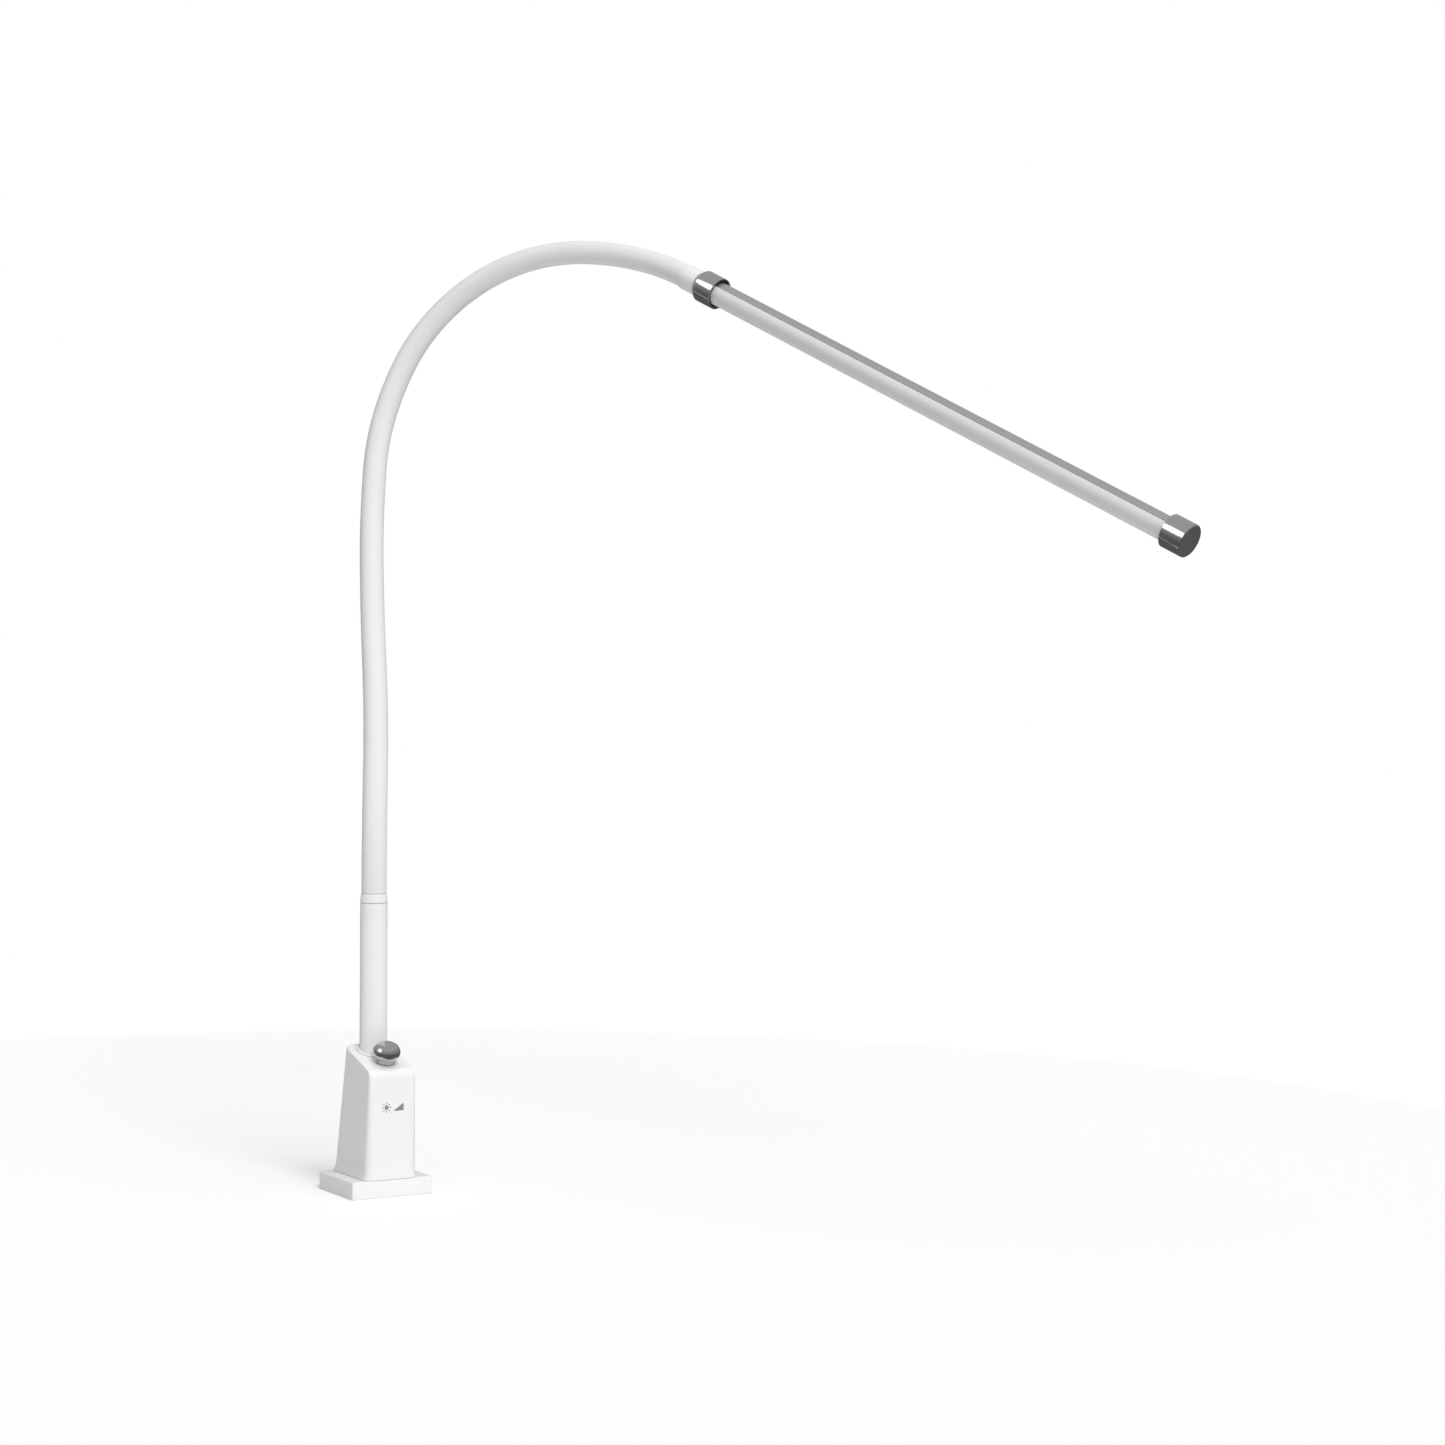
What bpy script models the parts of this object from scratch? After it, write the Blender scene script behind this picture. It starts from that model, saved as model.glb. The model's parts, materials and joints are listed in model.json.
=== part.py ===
"""Examination lamp: a small cast foot with a dimmer housing, a rigid pole, a flexible gooseneck
in a plastic sleeve, and a tubular LED head that turns in a chrome collar.

Metres, +Z up. The origin is the middle of the foot's underside; the housing's front faces -Y.
"""
import math

import bmesh
import bpy
from mathutils import Matrix, Vector

# ---------------------------------------------------------------- driving dimensions (metres)
GAP = 0.0003  # clearance between two pieces that touch
THROUGH = 0.001  # how far a cutter stands out of what it cuts

FOOT_WIDTH = 0.070
FOOT_DEPTH = 0.066
FOOT_HEIGHT = 0.014
FOOT_EDGE = 0.0008
PAD_MARGIN = 0.004
PAD_THICKNESS = 0.0018
INSERT_RADIUS = 0.0043
INSERT_BORE = 0.0025
INSERT_LENGTH = 0.0095
INSERT_EDGE_DISTANCE = 0.0065  # from the pad's edge

HOUSING_FOOT_WIDTH = 0.044
HOUSING_TOP_WIDTH = 0.040
HOUSING_BACK_HEIGHT = 0.104  # above the foot, at the back edge of the slanted top
HOUSING_TOP_SLOPE = math.radians(18.5)
HOUSING_FRONT_LEAN = 0.001
HOUSING_BACK_RIM = 0.0015  # housing left behind the pole's hole, besides its wall
HOUSING_WALL = 0.0025
HOUSING_FRONT_FILLET = 0.008
HOUSING_SIDE_CHAMFER = 0.001
HOUSING_FRONT_CORNERS = (0.008, 0.002)  # corner radius at the foot, at the top
HOUSING_BACK_CORNERS = (0.004, 0.008)
LUG_HEIGHT = 0.006
LUG_THICKNESS = 0.0035
LUG_WIDTH = 0.018

POLE_STEP = 0.00085  # pole's radius over the sleeve's
POLE_WALL = 0.0015
POLE_Y = 0.006
POLE_TOP = 0.233
WINDOW_HEIGHT = 0.024  # side window that lets the lead into the pole
WINDOW_WIDTH = 0.010
WINDOW_Z = 0.066
SOCKET_WALL = 0.003
SOCKET_HEIGHT = 0.026
SOCKET_FLOOR = 0.006
SOCKET_GRUB_HEIGHT = 0.018  # above the socket's base
GROMMET_WALL = 0.001

SLEEVE_DIAMETER = 0.0203
SLEEVE_WALL = 0.0018
CORE_FIT = 0.00035  # between the sleeve and the core
CORE_BORE = 0.0090
LEAD_DIAMETER = 0.005
LEAD_BEND_RADIUS = 0.009  # where it turns up inside the pole
FERRULE_HEIGHT = 0.0074
FERRULE_SPIGOT = 0.028  # below the pole's rim; it grips the core
FERRULE_LIP = 0.0006

HINGE_SPACING = 0.1045
CORE_BREAK = 0.0046  # opening between two core lengths at each bending point
# Heading (degrees from +X towards +Y) and climb (degrees above level) of the arm between
# one bending point and the next, foot to head; the last pair is the head's own direction.
ARM_DIRECTIONS = ((64, 59), (69, 53), (67, 56), (58, 62), (-5, 63), (-37, 32), (-44, -3), (-68, -26))

NECK_STEP = 0.00085  # neck piece's radius over the sleeve's
NECK_LENGTH = 0.018
NECK_CORE_DEPTH = 0.012
STUB_BORE = 0.0031
STUB_FLANGE = 0.0038
WASHER_THICKNESS = 0.0014
COLLAR_THICKNESS = 0.0037  # collar's radius over the light tube's
COLLAR_LENGTH = 0.0208
COLLAR_WEB = 0.005
COLLAR_MOUTH = 0.0025
COLLAR_RIM = 0.0014
COLLAR_CHAMFER = 0.0025  # at its neck end
COLLAR_SEAL_SET_BACK = 0.0010
TUBE_SEAT_DISTANCE = 0.0015  # from the nut to the light tube's stop
COLLAR_NUT_THICKNESS = 0.0037
COLLAR_NUT_WALL = 0.0012
COLLAR_STEP = 0.0010  # stop that the light tube rests on

TUBE_DIAMETER = 0.0206
TUBE_LENGTH = 0.5140
DIFFUSER_WALL = 0.0016
BACK_HALF_ANGLE = math.radians(43)  # to the top of its web
BACK_WALL = 0.0015
BACK_WEB = 0.0012
BOARD_WIDTH = 0.0110
BOARD_THICKNESS = 0.0012
LED_WIDTH = 0.0050
LED_THICKNESS = 0.0010
CONNECTOR_SIZE = (0.007, 0.005, 0.008)
BOARD_DISTANCE = 0.003  # from the collar to the LED board
LED_STRIP_MARGIN = 0.002
CAP_THICKNESS = 0.0037  # end cap's radius over the light tube's
CAP_LENGTH = 0.0205
CAP_WALL = 0.0020
CAP_FACE = 0.0030
CAP_EDGE = 0.0012
ADAPTER_SET_BACK = 0.0010

KNOB_DISTANCE = 0.012  # from the pole's front to the knob's axis
KNOB_RADIUS = 0.011
KNOB_FOOT_RADIUS = 0.0072
KNOB_HEIGHT = 0.0165
KNOB_BORE_DEPTH = 0.0110
KNOB_GRUB_RADIUS = 0.0012
# share of the knob's radius at a share of its height, from its skirt up to its domed top
KNOB_OUTLINE = (
    (0.68, 0.12), (0.86, 0.27), (0.97, 0.42), (1.0, 0.56), (0.99, 0.70), (0.90, 0.85), (0.68, 0.95), (0.36, 0.99), (0, 1.0)
)
SHAFT_RADIUS = 0.003
BUSHING_RADIUS = 0.0042
BUSHING_STAND = 0.0042
POT_RADIUS = 0.008
POT_LENGTH = 0.009
SHAFT_DEPTH = 0.0054  # inside the potentiometer
POT_NUT_RADIUS = 0.0054
POT_NUT_THICKNESS = 0.0019
POT_WASHER_RADIUS = 0.0065
POT_WASHER_THICKNESS = 0.0007

DRIVER_SIZE = (0.032, 0.0016, 0.060)
DRIVER_FOOT_GAP = 0.008
BOARD_SCREW_MARGIN = 0.006  # below the board's top
BRACKET_SCREW_DISTANCE = 0.0084  # behind the bracket's front
BRACKET_SCREW_LENGTH = 0.007
PART_HEIGHT = 0.0216  # of the capacitor and the choke, above the board's foot
PART_OFFSET = 0.0088  # from the board's middle
CAPACITOR_SIZE = (0.004, 0.009)  # radius, length
CHOKE_SIZE = (0.0046, 0.006)
BRACKET_THICKNESS = 0.0014
BRACKET_STEP = 0.0019  # from the bracket to the board, held open by a spacer
BRACKET_FOOT = 0.012
TERMINAL_SIZE = (0.010, 0.007, 0.009)

INLET_RADIUS = 0.0050
INLET_FLANGE_RADIUS = 0.0070
INLET_FLANGE = 0.0016
INLET_DEPTH = 0.0075
INLET_HEIGHT = 0.014  # above the foot
INLET_BORE = 0.0030
INLET_PIN_RADIUS = 0.0010
INLET_FLOOR = 0.0015
INLET_NUT_THICKNESS = 0.0018

SCREW_RADIUS = 0.0015
SCREW_HEAD_RADIUS = 0.0027
SCREW_HEAD = 0.0016
FOOT_SCREW_RADIUS = 0.0030
FOOT_SCREW_HEAD_RADIUS = 0.0055
FOOT_SCREW_HEAD = 0.0030
GRUB_RADIUS = 0.0017
HOUSING_SCREW_BITE = 0.0028  # in the foot's back lug

ROUND_SIDES = 24
SLEEVE_SIDES = 16
CORE_SIDES = 10
LEAD_SIDES = 8
SMALL_SIDES = 12
ARC_STEPS = 6

# ---------------------------------------------------------------- values that follow from them
HALF_DEPTH = FOOT_DEPTH / 2
HINGE_COUNT = len(ARM_DIRECTIONS)
SLEEVE_RADIUS = SLEEVE_DIAMETER / 2
CORE_RADIUS = SLEEVE_RADIUS - SLEEVE_WALL - CORE_FIT
POLE_RADIUS = SLEEVE_RADIUS + POLE_STEP
POLE_INNER = POLE_RADIUS - POLE_WALL
SOCKET_BASE = FOOT_HEIGHT + GAP
POLE_BOTTOM = SOCKET_BASE + SOCKET_FLOOR + GAP
HOUSING_TOP = FOOT_HEIGHT + HOUSING_BACK_HEIGHT
LUG_REACH = HALF_DEPTH - HOUSING_WALL - 2 * GAP
FRONT_LUG_Y = HOUSING_FRONT_LEAN - LUG_REACH
DRIVER_Y = FRONT_LUG_Y + LUG_THICKNESS + GAP + BRACKET_THICKNESS + BRACKET_STEP
POLE_HOLE = POLE_RADIUS + GROMMET_WALL + 2 * GAP
HOUSING_BACK_TOP_Y = POLE_Y + POLE_RADIUS + GROMMET_WALL + HOUSING_BACK_RIM
KNOB_Y = POLE_Y - POLE_RADIUS - KNOB_DISTANCE
NECK_RADIUS = SLEEVE_RADIUS + NECK_STEP
FERRULE_BASE = POLE_TOP + GAP
SLEEVE_START = FERRULE_BASE + FERRULE_HEIGHT + GAP
TUBE_RADIUS = TUBE_DIAMETER / 2
COLLAR_RADIUS = TUBE_RADIUS + COLLAR_THICKNESS
COLLAR_CAVITY = TUBE_RADIUS - COLLAR_STEP
COLLAR_NUT_RADIUS = COLLAR_CAVITY - 2 * GAP
STUB_RADIUS = COLLAR_NUT_RADIUS * math.cos(math.pi / 6) - COLLAR_NUT_WALL - GAP
CAP_RADIUS = TUBE_RADIUS + CAP_THICKNESS
# stations along the head, measured from the sleeve's end
NECK_START = GAP
NECK_END = NECK_START + NECK_LENGTH
WASHER_START = NECK_END + GAP
COLLAR_START = WASHER_START + WASHER_THICKNESS + GAP
COLLAR_END = COLLAR_START + COLLAR_LENGTH
NUT_START = COLLAR_START + COLLAR_WEB + GAP
NUT_END = NUT_START + COLLAR_NUT_THICKNESS
TUBE_SEAT = NUT_END + TUBE_SEAT_DISTANCE
TUBE_START = TUBE_SEAT + GAP
TUBE_END = TUBE_START + TUBE_LENGTH
CAP_END = TUBE_END + GAP + CAP_FACE
CAP_START = CAP_END - CAP_LENGTH
BOARD_START = COLLAR_END + BOARD_DISTANCE
BOARD_END = CAP_START - GAP

WHITE_PAINT = ("white_paint", (0.86, 0.86, 0.85), 0.35, 0.0)
WHITE_SLEEVE = ("white_sleeve", (0.84, 0.84, 0.83), 0.45, 0.0)
CHROME = ("chrome", (0.72, 0.72, 0.73), 0.12, 1.0)
ALUMINIUM = ("aluminium", (0.56, 0.57, 0.58), 0.38, 1.0)
STEEL = ("zinc_steel", (0.50, 0.50, 0.50), 0.35, 1.0)
BRASS = ("brass", (0.70, 0.55, 0.28), 0.30, 1.0)
RUBBER = ("black_rubber", (0.03, 0.03, 0.03), 0.75, 0.0)
BLACK_PLASTIC = ("black_plastic", (0.04, 0.04, 0.045), 0.45, 0.0)
FROSTED = ("frosted_diffuser", (0.80, 0.81, 0.81), 0.40, 0.0)
CIRCUIT = ("circuit_board", (0.05, 0.22, 0.10), 0.50, 0.0)
BOARD_WHITE = ("led_board_white", (0.85, 0.85, 0.82), 0.45, 0.0)
PHOSPHOR = ("led_phosphor", (0.85, 0.74, 0.30), 0.50, 0.0)
LEAD_GREY = ("lead_sheath", (0.25, 0.25, 0.26), 0.55, 0.0)


# ---------------------------------------------------------------- making and placing pieces
def clear_scene():
    """Remove every object that the scene opened with."""
    for obj in list(bpy.data.objects):
        bpy.data.objects.remove(obj, do_unlink=True)


def finish(kind):
    """Return the Principled material for a (name, colour, roughness, metallic) finish."""
    name, colour, roughness, metallic = kind
    made = bpy.data.materials.get(name)
    if made is None:
        made = bpy.data.materials.new(name)
        made.use_nodes = True
        shader = made.node_tree.nodes["Principled BSDF"]
        shader.inputs["Base Color"].default_value = (*colour, 1.0)
        shader.inputs["Roughness"].default_value = roughness
        shader.inputs["Metallic"].default_value = metallic
    return made


def add_body(name, place, parent=None):
    """Add the empty that a rigid body's pieces hang on; its origin and X are its joint's."""
    empty = bpy.data.objects.new(name + "_frame", None)
    bpy.context.collection.objects.link(empty)
    if parent:
        empty.parent = parent["empty"]
        empty.matrix_local = parent["place"].inverted() @ place
    return {"empty": empty, "place": place}


def loft(name, rings, kind, body, joined=False):
    """Join rings of world points into one closed solid and hang it on a body."""
    bm = bmesh.new()
    to_body = body["place"].inverted()
    rows = [[bm.verts.new(to_body @ Vector(p)) for p in ring] for ring in rings]
    count = len(rows[0])
    pairs = list(zip(rows, rows[1:]))
    if joined:
        pairs.append((rows[-1], rows[0]))
    for low, high in pairs:
        for i in range(count):
            j = (i + 1) % count
            bm.faces.new((low[i], low[j], high[j], high[i]))
    if not joined:
        bm.faces.new(rows[0])
        bm.faces.new(rows[-1])
    bmesh.ops.remove_doubles(bm, verts=bm.verts, dist=1e-7)
    bmesh.ops.recalc_face_normals(bm, faces=bm.faces)
    mesh = bpy.data.meshes.new(name)
    bm.to_mesh(mesh)
    bm.free()
    mesh.shade_smooth()
    mesh.set_sharp_from_angle(angle=math.radians(32))
    mesh.materials.append(finish(kind))
    obj = bpy.data.objects.new(name, mesh)
    bpy.context.collection.objects.link(obj)
    obj.parent = body["empty"]
    return obj


def turned(name, profile, place, kind, body, sides=ROUND_SIDES):
    """Turn a closed (radius, height) outline round the Z axis of a placing matrix."""
    rings = []
    for i in range(sides):
        angle = math.tau * i / sides
        c, s = math.cos(angle), math.sin(angle)
        rings.append([place @ Vector((r * c, r * s, h)) for r, h in profile])
    return loft(name, rings, kind, body, joined=True)


def extruded(name, outline, start, end, place, kind, body):
    """Push a flat (x, y) outline from one height to another along a placing matrix's Z."""
    rings = [[place @ Vector((x, y, z)) for x, y in outline] for z in (start, end)]
    return loft(name, rings, kind, body)


def block(name, low, high, kind, body, place=Matrix()):
    """A box between two corners of a placing matrix."""
    outline = [(low[0], low[1]), (high[0], low[1]), (high[0], high[1]), (low[0], high[1])]
    return extruded(name, outline, low[2], high[2], place, kind, body)


def tube_along(name, places, outer, inner, kind, body, sides):
    """A round pipe whose middle follows a row of placing matrices."""
    rings = []
    for i in range(sides):
        angle = math.tau * i / sides
        c, s = math.cos(angle), math.sin(angle)
        outside = [place @ Vector((outer * c, outer * s, 0)) for place in places]
        inside = [place @ Vector((inner * c, inner * s, 0)) for place in reversed(places)]
        rings.append(outside + inside)
    return loft(name, rings, kind, body, joined=True)


def rod_along(name, places, radius, kind, body, sides):
    """A round solid rod whose middle follows a row of placing matrices."""
    rings = []
    for place in places:
        ring = []
        for i in range(sides):
            angle = math.tau * i / sides
            ring.append(place @ Vector((radius * math.cos(angle), radius * math.sin(angle), 0)))
        rings.append(ring)
    return loft(name, rings, kind, body)


def apply_tool(piece, tool, operation):
    """Cut a hidden tool out of a piece, or weld it on."""
    tool.hide_render = True
    tool.display_type = "WIRE"
    change = piece.modifiers.new(tool.name, "BOOLEAN")
    change.operation = operation
    change.solver = "EXACT"
    change.object = tool


def drill(piece, name, place, radius, start, end, body, sides=ROUND_SIDES):
    """Drill a round hole along a placing matrix's Z."""
    profile = [(0, start), (radius, start), (radius, end), (0, end)]
    tool = turned(name, profile, place, STEEL, body, sides)
    apply_tool(piece, tool, "DIFFERENCE")


def at(x, y, z):
    """Placing matrix with the world's directions."""
    return Matrix.Translation((x, y, z))


def aimed(origin, along, across):
    """Placing matrix whose Z runs along one direction and whose X is nearest to another."""
    z = Vector(along).normalized()
    x = (Vector(across) - z * z.dot(Vector(across))).normalized()
    y = z.cross(x)
    turn = Matrix((x, y, z)).transposed().to_4x4()
    return Matrix.Translation(origin) @ turn


def screw_outline(shank, length, head, head_height):
    """Outline of a plain screw whose head sits on height 0 and whose shank runs down."""
    return [(0, -length), (shank, -length), (shank, 0), (head, 0), (head, head_height), (0, head_height)]


def small_screw(name, place, length, body):
    """One of the M3 screws, with its head above the placing matrix's origin."""
    outline = screw_outline(SCREW_RADIUS, length, SCREW_HEAD_RADIUS, SCREW_HEAD)
    return turned(name, outline, place, STEEL, body, SMALL_SIDES)


def hex_nut(name, bore, radius, low, high, place, body):
    """A six-sided nut with a round bore."""
    profile = [(0, low), (radius, low), (radius, high), (0, high)]
    nut = turned(name, profile, place, STEEL, body, 6)
    drill(nut, name + "_bore", place, bore, low - THROUGH, high + THROUGH, body)
    return nut


# ---------------------------------------------------------------- the arm's middle line
def direction(heading, climb):
    """Unit vector for a heading and a climb in degrees."""
    h, c = math.radians(heading), math.radians(climb)
    return Vector((math.cos(h) * math.cos(c), math.sin(h) * math.cos(c), math.sin(c)))


def arm_arcs():
    """One circular arc per bending point; each touches the straight legs at their middles."""
    arcs = []
    place = aimed((0, POLE_Y, SLEEVE_START), (0, 0, 1), (1, 0, 0))
    before = Vector((0, 0, 1))
    for heading, climb in ARM_DIRECTIONS:
        after = direction(heading, climb)
        angle = before.angle(after)
        radius = HINGE_SPACING / 2 / math.tan(angle / 2)
        inward = (after - before * math.cos(angle)).normalized()
        arc = {"start": place, "angle": angle, "axis": before.cross(after).normalized()}
        arc["centre"] = place.translation + inward * radius
        arcs.append(arc)
        place = on_arc(arc, 1.0)
        before = after
    return arcs


def on_arc(arc, share):
    """Placing matrix at a share of an arc, carried round without any twist."""
    swing = Matrix.Rotation(arc["angle"] * share, 4, arc["axis"])
    about = Matrix.Translation(arc["centre"]) @ swing @ Matrix.Translation(-arc["centre"])
    return about @ arc["start"]


def arc_length(arc):
    """Length of an arc along the arm's middle line."""
    return arc["angle"] * (arc["centre"] - arc["start"].translation).length


def along_arc(arc, first, last, steps=ARC_STEPS):
    """Evenly spread placing matrices between two shares of an arc."""
    return [on_arc(arc, first + (last - first) * i / steps) for i in range(steps + 1)]


def shifted(place, distance):
    """A placing matrix moved along its own Z."""
    return place @ Matrix.Translation((0, 0, distance))


# ---------------------------------------------------------------- foot
def make_foot(base):
    """Cast foot plate with its pad, its two fixing inserts and the lugs inside the housing."""
    w, d = FOOT_WIDTH / 2, HALF_DEPTH
    plate = block("foot_plate", (-w, -d, 0), (w, d, FOOT_HEIGHT), WHITE_PAINT, base)
    edge = plate.modifiers.new("soft_edges", "BEVEL")
    edge.width = FOOT_EDGE
    edge.segments = 2
    edge.limit_method = "ANGLE"
    back_lug_y = LUG_REACH - LUG_THICKNESS - back_wall_lean(FOOT_HEIGHT + LUG_HEIGHT)
    lugs = {"front": FRONT_LUG_Y, "back": back_lug_y}
    for side, y in lugs.items():
        low = (-LUG_WIDTH / 2, y, FOOT_HEIGHT / 2)
        high = (LUG_WIDTH / 2, y + LUG_THICKNESS, FOOT_HEIGHT + LUG_HEIGHT)
        lug = block("lug_tool_" + side, low, high, WHITE_PAINT, base)
        apply_tool(plate, lug, "UNION")
    pocket_low = (-w + PAD_MARGIN, -d + PAD_MARGIN, -THROUGH)
    pocket_high = (w - PAD_MARGIN, d - PAD_MARGIN, PAD_THICKNESS)
    apply_tool(plate, block("pad_pocket", pocket_low, pocket_high, RUBBER, base), "DIFFERENCE")
    pad_low = (-w + PAD_MARGIN + GAP, -d + PAD_MARGIN + GAP, 0)
    pad_high = (w - PAD_MARGIN - GAP, d - PAD_MARGIN - GAP, PAD_THICKNESS - GAP)
    pad = block("foot_pad", pad_low, pad_high, RUBBER, base)
    insert_x = w - PAD_MARGIN - INSERT_EDGE_DISTANCE
    for side, x in (("left", -insert_x), ("right", insert_x)):
        place = at(x, 0, 0)
        hole = INSERT_RADIUS + GAP
        insert_base = PAD_THICKNESS + GAP
        drill(plate, "insert_hole_" + side, place, hole, 0, insert_base + INSERT_LENGTH + GAP, base)
        drill(pad, "pad_hole_" + side, place, INSERT_RADIUS, -THROUGH, PAD_THICKNESS, base)
        profile = [
            (INSERT_BORE, insert_base),
            (INSERT_RADIUS, insert_base),
            (INSERT_RADIUS, insert_base + INSERT_LENGTH),
            (INSERT_BORE, insert_base + INSERT_LENGTH),
        ]
        turned("fixing_insert_" + side, profile, place, BRASS, base, SMALL_SIDES)
    return plate


def back_wall_lean(z):
    """How far the housing's back wall has leant forward at a height."""
    lean = HALF_DEPTH - HOUSING_BACK_TOP_Y
    return lean * (z - FOOT_HEIGHT) / HOUSING_BACK_HEIGHT


def make_pole_socket(base, plate):
    """Aluminium cup that holds the pole, with its screw from below and its grub screw."""
    place = at(0, POLE_Y, SOCKET_BASE)
    inner = POLE_RADIUS + GAP
    outer = inner + SOCKET_WALL
    profile = [
        (0, 0),
        (outer, 0),
        (outer, SOCKET_HEIGHT),
        (inner, SOCKET_HEIGHT),
        (inner, SOCKET_FLOOR),
        (0, SOCKET_FLOOR),
    ]
    socket = turned("pole_socket", profile, place, ALUMINIUM, base)
    seat = PAD_THICKNESS + GAP + FOOT_SCREW_HEAD
    length = SOCKET_BASE + SOCKET_FLOOR - GAP - seat
    down = aimed((0, POLE_Y, seat), (0, 0, -1), (1, 0, 0))
    up = at(0, POLE_Y, 0)
    turned("socket_screw", screw_outline(FOOT_SCREW_RADIUS, length, FOOT_SCREW_HEAD_RADIUS,
                                         FOOT_SCREW_HEAD), down, STEEL, base, SMALL_SIDES)
    shank = FOOT_SCREW_RADIUS + GAP
    head = FOOT_SCREW_HEAD_RADIUS + GAP
    top = SOCKET_BASE + SOCKET_FLOOR + THROUGH
    drill(plate, "socket_screw_hole", up, shank, PAD_THICKNESS, FOOT_HEIGHT + THROUGH, base, SMALL_SIDES)
    drill(plate, "socket_screw_seat", up, head, PAD_THICKNESS - THROUGH, seat + GAP, base, SMALL_SIDES)
    drill(socket, "socket_thread", up, shank, SOCKET_BASE - THROUGH, top, base, SMALL_SIDES)
    grub_z = SOCKET_BASE + SOCKET_GRUB_HEIGHT
    inward = aimed((0, POLE_Y, grub_z), (1, 0, 0), (0, 0, 1))
    drill(socket, "grub_hole", inward, GRUB_RADIUS + GAP, POLE_RADIUS, outer + THROUGH, base, SMALL_SIDES)
    start = POLE_RADIUS + GAP
    profile = [(0, start), (GRUB_RADIUS, start), (GRUB_RADIUS, outer), (0, outer)]
    turned("pole_grub_screw", profile, inward, STEEL, base, SMALL_SIDES)


# ---------------------------------------------------------------- housing
def housing_ring(level, steps, inset, floor):
    """One cross-section of the housing's block, front (level 0) to back, as a closed outline.

    Front levels follow the front top fillet and the front corners, back levels the back
    corners; side walls run straight between the foot's outline and the top's.
    """
    slope = HOUSING_TOP_SLOPE
    front = -HALF_DEPTH + inset
    front_top = front + HOUSING_FRONT_LEAN
    back = HALF_DEPTH - inset
    back_top = HOUSING_BACK_TOP_Y - inset
    foot_half = HOUSING_FOOT_WIDTH / 2 - inset
    top_half = HOUSING_TOP_WIDTH / 2 - inset
    fillet = HOUSING_FRONT_FILLET - inset
    crown = HOUSING_TOP - inset / math.cos(slope)

    def plane(y):
        return crown + (y - HOUSING_BACK_TOP_Y) * math.tan(slope)

    if level <= steps:
        share = level / steps
        turn = share * (math.pi / 2 - slope)
        centre_y = front_top + fillet
        centre_z = plane(centre_y) - fillet / math.cos(slope)
        y_top = centre_y - fillet * math.cos(turn)
        z_top = centre_z + fillet * math.sin(turn)
        corner = max(HOUSING_FRONT_CORNERS[1] - inset, 0.0005)
        reach = max(corner - (y_top - front_top), 0.0)
        x_top = top_half - corner + math.sqrt(corner**2 - reach**2)
        corner = max(HOUSING_FRONT_CORNERS[0] - inset, 0.0005)
        turn = share * math.pi / 2
        y_foot = front + corner * (1 - math.cos(turn))
        x_foot = foot_half - corner * (1 - math.sin(turn))
    else:
        turn = (2 * steps + 1 - level) / steps * math.pi / 2
        corner = max(HOUSING_BACK_CORNERS[1] - inset, 0.0005)
        y_top = back_top - corner * (1 - math.cos(turn))
        x_top = top_half - corner * (1 - math.sin(turn))
        z_top = plane(y_top)
        corner = max(HOUSING_BACK_CORNERS[0] - inset, 0.0005)
        y_foot = back - corner * (1 - math.cos(turn))
        x_foot = foot_half - corner * (1 - math.sin(turn))
    chamfer = HOUSING_SIDE_CHAMFER
    return [
        (x_foot, y_foot, floor),
        (x_top, y_top, z_top - chamfer),
        (x_top - chamfer, y_top, z_top),
        (chamfer - x_top, y_top, z_top),
        (-x_top, y_top, z_top - chamfer),
        (-x_foot, y_foot, floor),
    ]


def make_housing(base):
    """Dimmer housing: a tapered shell, open below, with holes for pole, dimmer and inlet."""
    steps = 5
    levels = range(2 * steps + 2)
    outside = [housing_ring(n, steps, 0, FOOT_HEIGHT + GAP) for n in levels]
    inside = [housing_ring(n, steps, HOUSING_WALL, FOOT_HEIGHT - THROUGH) for n in levels]
    shell = loft("housing_shell", outside, WHITE_PAINT, base)
    apply_tool(shell, loft("housing_hollow", inside, WHITE_PAINT, base), "DIFFERENCE")
    pole = at(0, POLE_Y, 0)
    under = top_height(POLE_Y - POLE_HOLE) - 2 * HOUSING_WALL
    drill(shell, "pole_hole", pole, POLE_HOLE, under, HOUSING_TOP + HOUSING_WALL, base)
    return shell


def top_height(y):
    """Height of the housing's slanted top at a depth."""
    return HOUSING_TOP + (y - HOUSING_BACK_TOP_Y) * math.tan(HOUSING_TOP_SLOPE)


def back_wall_place(z):
    """Placing matrix on the middle of the housing's leaning back wall, Z pointing out."""
    lean = math.atan(back_wall_lean(HOUSING_TOP) / HOUSING_BACK_HEIGHT)
    outward = (0, math.cos(lean), math.sin(lean))
    return aimed((0, HALF_DEPTH - back_wall_lean(z), z), outward, (1, 0, 0))


def make_housing_screw(base, plate, shell):
    """One screw through the foot of the housing's back wall into the plate's back lug."""
    place = shifted(back_wall_place(FOOT_HEIGHT + LUG_HEIGHT / 2), GAP)
    length = HOUSING_WALL + HOUSING_SCREW_BITE
    small_screw("housing_screw", place, length, base)
    hole = SCREW_RADIUS + GAP
    drill(shell, "housing_screw_hole", place, hole, -2 * HOUSING_WALL, THROUGH, base, SMALL_SIDES)
    drill(plate, "lug_thread", place, hole, -2 * length, 0, base, SMALL_SIDES)


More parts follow.
